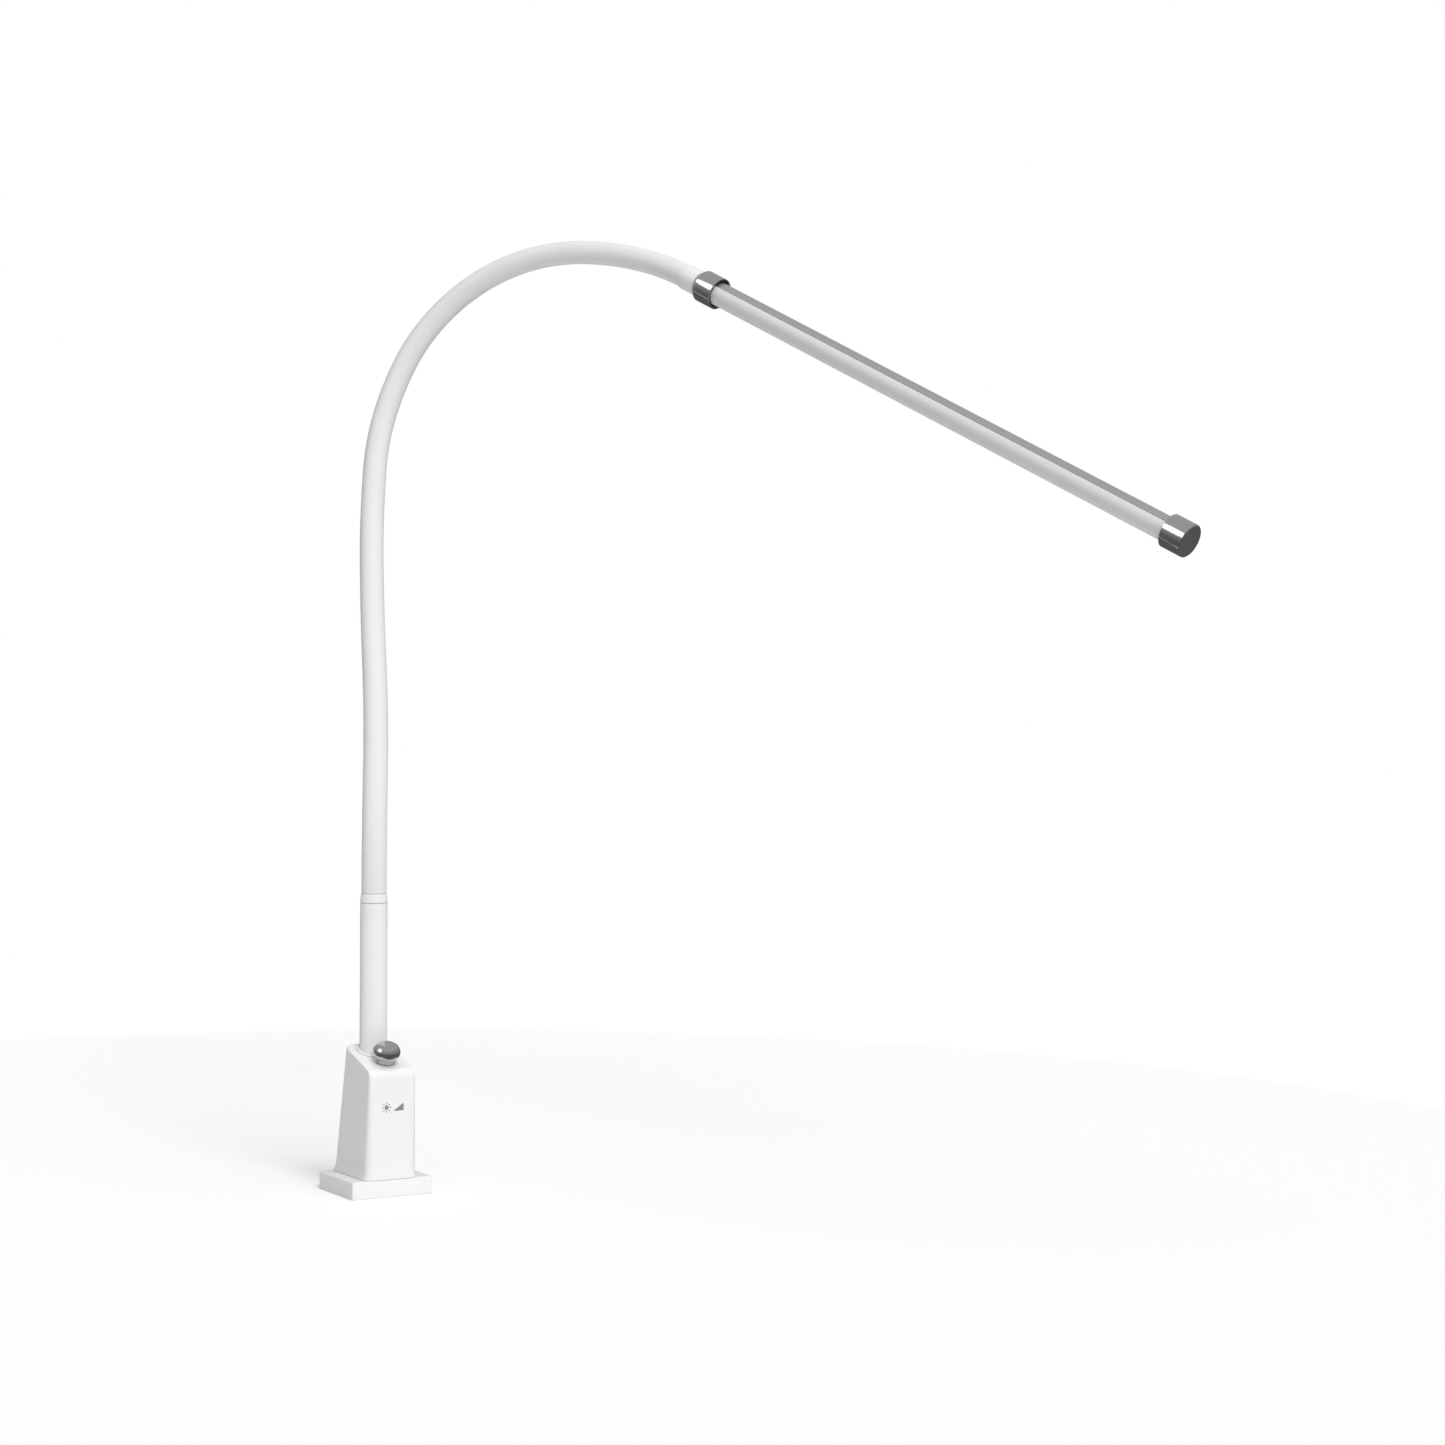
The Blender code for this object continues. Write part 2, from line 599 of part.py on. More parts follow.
def make_inlet(base, shell):
    """Low-voltage inlet in the back wall, with its centre pin, and the nut that holds it."""
    place = back_wall_place(FOOT_HEIGHT + INLET_HEIGHT)
    profile = [
        (0, -INLET_DEPTH),
        (INLET_RADIUS, -INLET_DEPTH),
        (INLET_RADIUS, GAP),
        (INLET_FLANGE_RADIUS, GAP),
        (INLET_FLANGE_RADIUS, INLET_FLANGE),
        (INLET_BORE, INLET_FLANGE),
        (INLET_BORE, INLET_FLOOR - INLET_DEPTH),
        (INLET_PIN_RADIUS, INLET_FLOOR - INLET_DEPTH),
        (INLET_PIN_RADIUS, 0),
        (0, 0),
    ]
    turned("dc_inlet", profile, place, BLACK_PLASTIC, base)
    ring, high = INLET_RADIUS + GAP, -HOUSING_WALL - GAP
    hex_nut("inlet_nut", ring, INLET_FLANGE_RADIUS, high - INLET_NUT_THICKNESS, high, place, base)
    drill(shell, "inlet_hole", place, INLET_RADIUS + GAP, -2 * HOUSING_WALL, THROUGH, base)


# ---------------------------------------------------------------- pole
def make_pole(base):
    """White steel pole with its grommet and the top ferrule that grips the gooseneck's core."""
    place = at(0, POLE_Y, 0)
    profile = [
        (POLE_INNER, POLE_BOTTOM),
        (POLE_RADIUS, POLE_BOTTOM),
        (POLE_RADIUS, POLE_TOP),
        (POLE_INNER, POLE_TOP),
    ]
    pole = turned("pole_tube", profile, place, WHITE_PAINT, base)
    low = (-WINDOW_WIDTH / 2, POLE_Y - POLE_RADIUS - THROUGH, WINDOW_Z - WINDOW_HEIGHT / 2)
    high = (WINDOW_WIDTH / 2, POLE_Y, WINDOW_Z + WINDOW_HEIGHT / 2)
    apply_tool(pole, block("pole_window", low, high, STEEL, base), "DIFFERENCE")
    rings = []
    for i in range(ROUND_SIDES):
        angle = math.tau * i / ROUND_SIDES
        ring = []
        for radius, rise in ((1, 0), (2, 0), (2, 1), (1, 1)):
            r = POLE_RADIUS + GAP if radius == 1 else POLE_HOLE - GAP
            y = POLE_Y + r * math.sin(angle)
            z = top_height(y) - HOUSING_WALL + rise * (HOUSING_WALL + FERRULE_LIP)
            ring.append((r * math.cos(angle), y, z))
        rings.append(ring)
    loft("pole_grommet", rings, RUBBER, base, joined=True)
    core_hole = CORE_RADIUS + GAP
    spigot = POLE_INNER - GAP
    top = FERRULE_BASE + FERRULE_HEIGHT
    profile = [
        (core_hole, POLE_TOP - FERRULE_SPIGOT),
        (spigot, POLE_TOP - FERRULE_SPIGOT),
        (spigot, FERRULE_BASE),
        (POLE_RADIUS, FERRULE_BASE),
        (POLE_RADIUS, top - FERRULE_LIP),
        (POLE_RADIUS - FERRULE_LIP, top),
        (core_hole, top),
    ]
    turned("pole_ferrule", profile, place, WHITE_PAINT, base)


# ---------------------------------------------------------------- electronics in the housing
def make_driver(base, plate):
    """LED driver board on its bracket, with its main components."""
    half, thick, height = DRIVER_SIZE[0] / 2, DRIVER_SIZE[1], DRIVER_SIZE[2]
    low_z = FOOT_HEIGHT + DRIVER_FOOT_GAP
    back = DRIVER_Y + thick
    board = block("driver_board", (-half, DRIVER_Y, low_z), (half, back, low_z + height), CIRCUIT, base)
    bracket_back = DRIVER_Y - BRACKET_STEP
    bracket_front = bracket_back - BRACKET_THICKNESS
    floor = FOOT_HEIGHT + GAP
    outline = [
        (bracket_front, floor),
        (bracket_front + BRACKET_FOOT, floor),
        (bracket_front + BRACKET_FOOT, floor + BRACKET_THICKNESS),
        (bracket_back, floor + BRACKET_THICKNESS),
        (bracket_back, low_z + height),
        (bracket_front, low_z + height),
    ]
    across = aimed((0, 0, 0), (1, 0, 0), (0, 1, 0))
    bracket = extruded("board_bracket", outline, -half, half, across, ALUMINIUM, base)
    fix_z = low_z + height - BOARD_SCREW_MARGIN
    place = aimed((0, back + GAP, fix_z), (0, 1, 0), (1, 0, 0))
    length = thick + BRACKET_STEP + BRACKET_THICKNESS
    small_screw("board_screw", place, length, base)
    hole = SCREW_RADIUS + GAP
    drill(board, "board_hole", place, hole, -thick - THROUGH, THROUGH, base, SMALL_SIDES)
    drill(bracket, "bracket_hole", place, hole, -2 * length, -thick - THROUGH, base, SMALL_SIDES)
    low, high = -thick - BRACKET_STEP, -thick - 2 * GAP
    spacer = [(hole, low), (SCREW_HEAD_RADIUS, low), (SCREW_HEAD_RADIUS, high), (hole, high)]
    turned("board_spacer", spacer, place, BLACK_PLASTIC, base, SMALL_SIDES)
    foot = at(0, bracket_front + BRACKET_SCREW_DISTANCE, floor + BRACKET_THICKNESS + GAP)
    length = BRACKET_SCREW_LENGTH
    small_screw("bracket_screw", foot, length, base)
    drill(bracket, "bracket_foot_hole", foot, hole, -2 * BRACKET_THICKNESS, THROUGH, base, SMALL_SIDES)
    drill(plate, "bracket_thread", foot, hole, -length - GAP, 0, base, SMALL_SIDES)
    rear = back + GAP
    width, depth, tall = TERMINAL_SIZE
    low = (-width / 2, rear, WINDOW_Z - tall)
    high = (width / 2, rear + depth, WINDOW_Z)
    block("lead_terminal", low, high, BLACK_PLASTIC, base)
    parts = {
        "smoothing_capacitor": (-PART_OFFSET, CAPACITOR_SIZE, BLACK_PLASTIC),
        "driver_choke": (PART_OFFSET, CHOKE_SIZE, STEEL),
    }
    for name, (x, (radius, length), kind) in parts.items():
        place = aimed((x, rear, low_z + PART_HEIGHT), (0, 1, 0), (1, 0, 0))
        outline = [(0, 0), (radius, 0), (radius, length), (0, length)]
        turned(name, outline, place, kind, base, SMALL_SIDES)
    return rear + depth


# ---------------------------------------------------------------- dimmer
def dimmer_place():
    """Placing matrix on the slanted top: Z is its normal, the origin the knob's axis."""
    normal = (0, -math.sin(HOUSING_TOP_SLOPE), math.cos(HOUSING_TOP_SLOPE))
    return aimed((0, KNOB_Y, top_height(KNOB_Y)), normal, (1, 0, 0))


def make_dimmer(base, knob_body, shell):
    """Rotary dimmer: potentiometer, washer and nut on the housing; shaft and knob turn."""
    place = dimmer_place()
    bore = SHAFT_RADIUS + GAP
    profile = [
        (bore, -HOUSING_WALL - GAP - POT_LENGTH),
        (POT_RADIUS, -HOUSING_WALL - GAP - POT_LENGTH),
        (POT_RADIUS, -HOUSING_WALL - GAP),
        (BUSHING_RADIUS, -HOUSING_WALL - GAP),
        (BUSHING_RADIUS, BUSHING_STAND),
        (bore, BUSHING_STAND),
    ]
    turned("dimmer_pot", profile, place, ALUMINIUM, base, ROUND_SIDES)
    drill(shell, "dimmer_hole", place, BUSHING_RADIUS + GAP, -2 * HOUSING_WALL, THROUGH, base)
    washer_top = GAP + POT_WASHER_THICKNESS
    ring = BUSHING_RADIUS + GAP
    profile = [(ring, GAP), (POT_WASHER_RADIUS, GAP), (POT_WASHER_RADIUS, washer_top), (ring, washer_top)]
    turned("pot_washer", profile, place, STEEL, base)
    low = washer_top + GAP
    high = low + POT_NUT_THICKNESS
    hex_nut("pot_nut", ring, POT_NUT_RADIUS, low, high, place, base)
    foot = washer_top + GAP
    cavity = POT_NUT_RADIUS + 3 * GAP
    ceiling = BUSHING_STAND + 2 * GAP
    profile = [(cavity, foot), (KNOB_FOOT_RADIUS, foot)]
    profile += [(KNOB_RADIUS * wide, foot + KNOB_HEIGHT * tall) for wide, tall in KNOB_OUTLINE]
    profile += [
        (0, foot + KNOB_BORE_DEPTH),
        (bore, foot + KNOB_BORE_DEPTH),
        (bore, ceiling),
        (cavity, ceiling),
    ]
    knob = turned("dimmer_knob", profile, place, CHROME, knob_body)
    start = -HOUSING_WALL - SHAFT_DEPTH
    end = foot + KNOB_BORE_DEPTH - GAP
    profile = [(0, start), (SHAFT_RADIUS, start), (SHAFT_RADIUS, end), (0, end)]
    turned("dimmer_shaft", profile, place, BRASS, knob_body, SMALL_SIDES)
    side = place @ Matrix.Translation((0, 0, (ceiling + end) / 2))
    side = side @ aimed((0, 0, 0), (0, 1, 0), (1, 0, 0))
    grub = KNOB_GRUB_RADIUS
    drill(knob, "knob_grub_hole", side, grub + GAP, SHAFT_RADIUS, KNOB_RADIUS + THROUGH, knob_body, 8)
    start = SHAFT_RADIUS + GAP
    end = KNOB_FOOT_RADIUS
    turned("knob_grub_screw", [(0, start), (grub, start), (grub, end), (0, end)], side, STEEL, knob_body, 8)


# ---------------------------------------------------------------- gooseneck
def make_gooseneck(bodies, arcs):
    """Steel core in lengths that meet at the bending points, each bend under its own sleeve."""
    shares = [CORE_BREAK / 2 / arc_length(arc) for arc in arcs]
    root = shifted(arcs[0]["start"], -FERRULE_HEIGHT - FERRULE_SPIGOT)
    first = [root] + along_arc(arcs[0], 0, 0.5 - shares[0], ARC_STEPS // 2)
    tube_along("core_root", first, CORE_RADIUS, CORE_BORE / 2, STEEL, bodies[0], CORE_SIDES)
    for n in range(1, HINGE_COUNT):
        lower, upper = arcs[n - 1], arcs[n]
        places = along_arc(lower, 0.5 + shares[n - 1], 1, ARC_STEPS // 2)
        places += along_arc(upper, 0, 0.5 - shares[n], ARC_STEPS // 2)[1:]
        tube_along(f"core_{n}", places, CORE_RADIUS, CORE_BORE / 2, STEEL, bodies[n], CORE_SIDES)
    last = along_arc(arcs[-1], 0.5 + shares[-1], 1, ARC_STEPS // 2)
    last.append(shifted(last[-1], NECK_CORE_DEPTH))
    tube_along("core_tip", last, CORE_RADIUS, CORE_BORE / 2, STEEL, bodies[-1], CORE_SIDES)
    for n, arc in enumerate(arcs, 1):
        edge = GAP / 2 / arc_length(arc)
        places = along_arc(arc, edge, 1 - edge)
        inner = SLEEVE_RADIUS - SLEEVE_WALL
        tube_along(f"sleeve_{n}", places, SLEEVE_RADIUS, inner, WHITE_SLEEVE, bodies[n - 1], SLEEVE_SIDES)


def make_lead(base, arcs, start_y):
    """Two-wire lead from the driver's terminal up the pole and the gooseneck into the head."""
    z = WINDOW_Z - TERMINAL_SIZE[2] / 2
    bend = LEAD_BEND_RADIUS
    points = [Vector((0, start_y + GAP, z))]
    for i in range(ARC_STEPS + 1):
        turn = math.pi / 2 * i / ARC_STEPS
        points.append(Vector((0, POLE_Y - bend * (1 - math.sin(turn)), z + bend * (1 - math.cos(turn)))))
    rise = SLEEVE_START - points[-1].z
    points += [points[-1] + Vector((0, 0, rise * share)) for share in (1 / 3, 2 / 3)]
    for arc in arcs:
        points += [place.translation for place in along_arc(arc, 0, 1)[:-1]]
    end = on_arc(arcs[-1], 1)
    stop = BOARD_START - GAP
    points += [shifted(end, stop * share).translation for share in (0, 0.5, 1)]
    places = [aimed(points[0], points[1] - points[0], (1, 0, 0))]
    for before, here, after in zip(points, points[1:], points[2:]):
        places.append(aimed(here, after - before, places[-1].col[0].xyz))
    places.append(aimed(points[-1], points[-1] - points[-2], places[-1].col[0].xyz))
    rod_along("arm_lead", places, LEAD_DIAMETER / 2, LEAD_GREY, base, LEAD_SIDES)


# ---------------------------------------------------------------- head
def make_neck(neck, place):
    """White neck piece at the sleeve's end, with the hollow stub that the head turns on."""
    core_hole = CORE_RADIUS + GAP
    radius = NECK_RADIUS
    stub_hole = STUB_RADIUS + GAP
    floor = NECK_CORE_DEPTH + 2 * GAP + STUB_FLANGE
    profile = [
        (core_hole, NECK_START),
        (radius - FERRULE_LIP, NECK_START),
        (radius, NECK_START + FERRULE_LIP),
        (radius, NECK_END - FERRULE_LIP),
        (radius - FERRULE_LIP, NECK_END),
        (stub_hole, NECK_END),
        (stub_hole, floor + GAP),
        (core_hole, floor + GAP),
    ]
    turned("neck_ferrule", profile, place, WHITE_PAINT, neck)
    start = NECK_CORE_DEPTH + GAP
    end = NUT_END + GAP
    profile = [
        (STUB_BORE, start),
        (CORE_RADIUS, start),
        (CORE_RADIUS, start + STUB_FLANGE),
        (STUB_RADIUS, start + STUB_FLANGE),
        (STUB_RADIUS, end),
        (STUB_BORE, end),
    ]
    turned("swivel_stub", profile, place, STEEL, neck)
    low, high = WASHER_START, WASHER_START + WASHER_THICKNESS
    wide = radius - 2 * FERRULE_LIP
    profile = [(stub_hole, low), (wide, low), (wide, high), (stub_hole, high)]
    turned("swivel_washer", profile, place, BLACK_PLASTIC, neck)
    hex_nut("swivel_nut", stub_hole, COLLAR_NUT_RADIUS, NUT_START, NUT_END, place, neck)


def make_collar(head, place):
    """Chrome collar that turns on the stub, holds the light tube and carries its seal."""
    web_bore = STUB_RADIUS + GAP
    seat = TUBE_RADIUS + GAP
    mouth = COLLAR_RADIUS - COLLAR_RIM
    step = COLLAR_END - COLLAR_MOUTH
    slope = COLLAR_CHAMFER
    profile = [
        (web_bore, COLLAR_START),
        (COLLAR_RADIUS - slope, COLLAR_START),
        (COLLAR_RADIUS, COLLAR_START + slope),
        (COLLAR_RADIUS, COLLAR_END - COLLAR_RIM / 3),
        (COLLAR_RADIUS - COLLAR_RIM / 3, COLLAR_END),
        (mouth, COLLAR_END),
        (mouth, step),
        (seat, step),
        (seat, TUBE_SEAT),
        (COLLAR_CAVITY, TUBE_SEAT),
        (COLLAR_CAVITY, COLLAR_START + COLLAR_WEB),
        (web_bore, COLLAR_START + COLLAR_WEB),
    ]
    collar = turned("head_collar", profile, place, CHROME, head, 32)
    low, high = step + GAP, COLLAR_END - COLLAR_SEAL_SET_BACK
    wide = mouth - GAP
    profile = [(seat, low), (wide, low), (wide, high), (seat, high)]
    turned("collar_seal", profile, place, RUBBER, head)
    clamp = shifted(place, (TUBE_SEAT + step) / 2) @ aimed((0, 0, 0), (0, -1, 0), (0, 0, 1))
    drill(collar, "collar_grub_hole", clamp, GRUB_RADIUS + GAP, COLLAR_CAVITY, COLLAR_RADIUS + THROUGH, head,
          SMALL_SIDES)
    start, end = TUBE_RADIUS + GAP, COLLAR_RADIUS - GAP
    profile = [(0, start), (GRUB_RADIUS, start), (GRUB_RADIUS, end), (0, end)]
    turned("collar_grub_screw", profile, clamp, STEEL, head, SMALL_SIDES)


def arc_points(radius, first, last, count):
    """Points on a circle in a cross-section; angle 0 is the middle of the head's back."""
    points = []
    for i in range(count + 1):
        angle = first + (last - first) * i / count
        points.append((radius * math.sin(angle), radius * math.cos(angle)))
    return points


def make_light_tube(head, place):
    """Aluminium back with its wire channel, LED strip on its board, and frosted diffuser."""
    half = BACK_HALF_ANGLE
    web_low = TUBE_RADIUS * math.cos(half) - BACK_WEB
    web_high = web_low + BACK_WEB
    edge = math.acos(web_low / TUBE_RADIUS)
    back = extruded("head_back", arc_points(TUBE_RADIUS, -edge, edge, 12), TUBE_START, TUBE_END, place,
                    ALUMINIUM, head)
    inner = TUBE_RADIUS - BACK_WALL
    inner_edge = math.acos(web_high / inner)
    channel = extruded("wire_channel", arc_points(inner, -inner_edge, inner_edge, 8),
                       TUBE_START - THROUGH, TUBE_END + THROUGH, place, STEEL, head)
    apply_tool(back, channel, "DIFFERENCE")
    opening = edge + GAP / TUBE_RADIUS
    outer = arc_points(TUBE_RADIUS, opening, math.tau - opening, 22)
    inner = arc_points(TUBE_RADIUS - DIFFUSER_WALL, math.tau - opening, opening, 22)
    extruded("diffuser", outer + inner, TUBE_START, TUBE_END, place, FROSTED, head)
    top = web_low - GAP
    low = (-BOARD_WIDTH / 2, top - BOARD_THICKNESS, BOARD_START)
    high = (BOARD_WIDTH / 2, top, BOARD_END)
    block("led_board", low, high, BOARD_WHITE, head, place)
    top = low[1] - GAP
    wide, tall, long = CONNECTOR_SIZE
    low = (-wide / 2, top - tall, BOARD_START)
    block("led_connector", low, (wide / 2, top, BOARD_START + long), BLACK_PLASTIC, head, place)
    low = (-LED_WIDTH / 2, top - LED_THICKNESS, BOARD_START + long + GAP)
    block("led_strip", low, (LED_WIDTH / 2, top, BOARD_END - LED_STRIP_MARGIN), PHOSPHOR, head, place)


def make_end_cap(head, place):
    """Chrome end cap over the light tube's far end, on a black adapter ring."""
    inner = CAP_RADIUS - CAP_WALL
    soft = CAP_EDGE
    profile = [
        (0, CAP_END),
        (CAP_RADIUS - soft, CAP_END),
        (CAP_RADIUS - soft * 0.3, CAP_END - soft * 0.3),
        (CAP_RADIUS, CAP_END - soft),
        (CAP_RADIUS, CAP_START + soft / 3),
        (CAP_RADIUS - soft / 3, CAP_START),
        (inner, CAP_START),
        (inner, CAP_END - CAP_FACE),
        (0, CAP_END - CAP_FACE),
    ]
    turned("end_cap", profile, place, CHROME, head, 32)
    low, high = CAP_START + ADAPTER_SET_BACK, CAP_END - CAP_FACE - GAP
    seat = TUBE_RADIUS + GAP
    wide = inner - GAP
    profile = [(seat, low), (wide, low), (wide, high), (seat, high)]
    turned("cap_adapter", profile, place, BLACK_PLASTIC, head)


# ---------------------------------------------------------------- assembly
def hinge_place(arc, number):
    """Placing matrix of a bending point: X is the hinge's axis, Z the arm's direction.

    Odd bends nod about a level axis; even bends sway across it. The sense alternates from
    one nod to the next and from one sway to the next.
    """
    middle = on_arc(arc, 0.5)
    along = middle.col[2].xyz
    level = along.cross(Vector((0, 0, 1)))
    axis = level if number % 2 else along.cross(level)
    if number % 4 in (0, 3):
        axis = -axis
    return aimed(middle.translation, along, axis)


def main():
    """Build every piece of the lamp."""
    clear_scene()
    arcs = arm_arcs()
    base = add_body("base", Matrix())
    knob_body = add_body("knob", dimmer_place(), base)
    bodies = [base]
    for n, arc in enumerate(arcs, 1):
        name = "neck" if n == HINGE_COUNT else f"link_{n}"
        bodies.append(add_body(name, hinge_place(arc, n), bodies[-1]))
    along = on_arc(arcs[-1], 1).col[2].xyz
    sideways = Vector((0, 0, 1)).cross(along)
    head_place = aimed(on_arc(arcs[-1], 1).translation, along, sideways)
    head = add_body("head", head_place, bodies[-1])

    plate = make_foot(base)
    make_pole_socket(base, plate)
    shell = make_housing(base)
    make_housing_screw(base, plate, shell)
    make_inlet(base, shell)
    make_pole(base)
    terminal_face = make_driver(base, plate)
    make_dimmer(base, knob_body, shell)
    make_gooseneck(bodies, arcs)
    make_lead(base, arcs, terminal_face)
    make_neck(bodies[-1], head_place)
    make_collar(head, head_place)
    make_light_tube(head, head_place)
    make_end_cap(head, head_place)


main()
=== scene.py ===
# %% [markdown]
# # An examination lamp, dressed for its portrait
#
# The lamp stands on a small cast foot with a dimmer housing. A rigid pole rises out of the
# housing, a white gooseneck bends over from it, and a slim tubular light turns in a chrome
# collar at its end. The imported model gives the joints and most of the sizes. This lesson gives
# each visible piece its fine shape and its finish, and it never moves a joint.

# %% Load the frame
import json
import math

import bpy
import numpy as np
from mathutils import Matrix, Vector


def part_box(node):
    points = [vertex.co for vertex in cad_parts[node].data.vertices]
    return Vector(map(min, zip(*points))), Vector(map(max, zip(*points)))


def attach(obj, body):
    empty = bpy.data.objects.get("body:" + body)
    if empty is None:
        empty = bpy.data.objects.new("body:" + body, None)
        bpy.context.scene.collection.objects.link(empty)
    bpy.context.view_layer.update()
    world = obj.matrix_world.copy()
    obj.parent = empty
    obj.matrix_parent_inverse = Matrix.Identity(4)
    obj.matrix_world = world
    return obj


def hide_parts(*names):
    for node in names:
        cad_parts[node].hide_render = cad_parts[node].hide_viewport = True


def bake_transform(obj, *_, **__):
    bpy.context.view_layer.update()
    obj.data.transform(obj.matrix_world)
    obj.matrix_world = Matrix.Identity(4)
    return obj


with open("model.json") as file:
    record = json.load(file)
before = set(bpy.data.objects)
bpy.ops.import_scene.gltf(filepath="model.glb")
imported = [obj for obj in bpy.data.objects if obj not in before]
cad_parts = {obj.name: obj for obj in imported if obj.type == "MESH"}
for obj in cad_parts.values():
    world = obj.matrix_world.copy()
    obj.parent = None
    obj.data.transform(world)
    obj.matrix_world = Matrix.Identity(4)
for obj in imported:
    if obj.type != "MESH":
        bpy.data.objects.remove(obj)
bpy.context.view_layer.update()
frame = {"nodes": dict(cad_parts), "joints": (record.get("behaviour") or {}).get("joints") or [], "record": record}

JOINTS = {joint["name"]: joint for joint in frame["joints"]}

# %% [markdown]
# ## Sizes
#
# A size that the frame holds is read from a node's box, so the fine pieces cannot drift away
# from the solids they stand for. Only what a box does not show is written again.

# %% Sizes read from the frame
def span(node):
    """Lowest and highest corner of a node as two arrays."""
    low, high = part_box(node)
    return np.array(low), np.array(high)


def half_width(node):
    """Half a node's size along X: the radius of an upright turned piece."""
    low, high = span(node)
    return (high[0] - low[0]) / 2


GAP = 0.0003
FOOT_HALF = (span("foot_plate")[1] - span("foot_plate")[0])[:2] / 2
FOOT_HEIGHT = span("housing_shell")[0][2] - GAP
POLE_RADIUS = half_width("pole_tube")
POLE_LOW, POLE_HIGH = (corner[2] for corner in span("pole_tube"))
POLE_Y = span("pole_tube")[0][1] + POLE_RADIUS
FERRULE_LOW, FERRULE_HIGH = POLE_HIGH + GAP, span("pole_ferrule")[1][2]
ARM_BASE = np.array((0.0, POLE_Y, FERRULE_HIGH + GAP))
print("foot", FOOT_HALF * 2000, "mm, pole radius", round(POLE_RADIUS * 1000, 2), "mm")

# %% [markdown]
# ## Surfaces as grids
#
# A lamp is nearly all pipes and turned parts, so one idea covers it: a surface is a grid of
# points. The columns run round and close on themselves. The rows run along, and they end in a
# flat or pointed pole, or close into a ring for a piece with a bore. Each grid also gets a UV
# map in metres, so that brushing keeps its real scale and follows the piece.

# %% Turn a grid into a closed skin
def skin(points, ring=False, poles=(None, None)):
    """Quads between neighbouring rows and columns, and a fan of triangles to each pole.

    The signed volume, a sixth of the sum of p0 . (p1 x p2) over the triangles, tells
    whether the faces look outwards; if it is negative they are all turned round.
    """
    rows, columns = points.shape[:2]
    index = np.arange(rows * columns).reshape(rows, columns)
    if ring:
        index = np.vstack([index, index[:1]])
    index = np.hstack([index, index[:, :1]])
    closed = points.reshape(-1, 3)[index]
    round_steps = np.linalg.norm(np.diff(closed, axis=1), axis=2).mean(axis=0)
    along_steps = np.linalg.norm(np.diff(closed, axis=0), axis=2).mean(axis=1)
    u = np.concatenate([[0], np.cumsum(round_steps)])
    v = np.concatenate([[0], np.cumsum(along_steps)])
    uv = np.stack(np.meshgrid(u, v), axis=-1)

    def corners(grid):
        quads = [grid[:-1, :-1], grid[:-1, 1:], grid[1:, 1:], grid[1:, :-1]]
        return np.stack(quads, axis=2).reshape(-1, 4, *grid.shape[2:])

    quads, quad_uv = corners(index), corners(uv)
    verts = [points.reshape(-1, 3)]
    fans, fan_uv = np.zeros((0, 3), int), np.zeros((0, 3, 2))
    if not ring:
        for row, pole, turn in ((0, poles[0], -1), (-1, poles[1], 1)):
            tip = points[row].mean(axis=0) if pole is None else pole
            verts.append(np.reshape(tip, (1, 3)))

            def fan(grid, middle):
                pair = (grid[row, :-1], grid[row, 1:])[::turn]
                return np.stack([*pair, np.broadcast_to(middle, pair[0].shape)], axis=1)

            fans = np.vstack([fans, fan(index, rows * columns + len(verts) - 2)])
            fan_uv = np.vstack([fan_uv, fan(uv, uv[row].mean(axis=0))])
    verts = np.vstack(verts)
    triangles = np.vstack([quads[:, [0, 1, 2]], quads[:, [0, 2, 3]], fans])
    p0, p1, p2 = (verts[triangles[:, k]] for k in range(3))
    volume = (p0 * np.cross(p1, p2)).sum() / 6
    if volume < 0:
        quads, quad_uv = quads[:, ::-1], quad_uv[:, ::-1]
        fans, fan_uv = fans[:, ::-1], fan_uv[:, ::-1]
    return verts, quads, fans, np.vstack([quad_uv.reshape(-1, 2), fan_uv.reshape(-1, 2)])


# %% Put skins into one named piece
SHARP = math.radians(34)
made = []


def placed(name, data):
    """A new object in the scene."""
    obj = bpy.data.objects.new(name, data)
    bpy.context.scene.collection.objects.link(obj)
    return obj


def piece(name, skins, finish, body=None, stands_for=()):
    """One mesh object from any number of closed skins, with its finish, body and CAD nodes."""
    verts, faces, uvs, count = [], [], [], 0
    for points, quads, fans, uv in skins:
        verts.append(points)
        faces += (quads + count).tolist() + (fans + count).tolist()
        uvs.append(uv)
        count += len(points)
    mesh = bpy.data.meshes.new(name)
    mesh.from_pydata(np.vstack(verts), [], faces)
    layer = mesh.uv_layers.new(name="metres")
    layer.uv.foreach_set("vector", np.vstack(uvs).astype(np.float32).ravel())
    mesh.shade_smooth()
    mesh.set_sharp_from_angle(angle=SHARP)
    mesh.materials.append(finish.material)
    obj = placed(name, mesh)
    if body:
        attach(obj, body)
    if stands_for:
        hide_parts(*stands_for)
    made.append((name, len(faces)))
    return obj


# %% [markdown]
# ## Outlines with real edges
#
# No machined or moulded edge is perfectly sharp, and the small round on it is what catches the
# light. An outline is therefore written as a few corners with a radius each, and every corner
# becomes an arc that touches both of its sides.

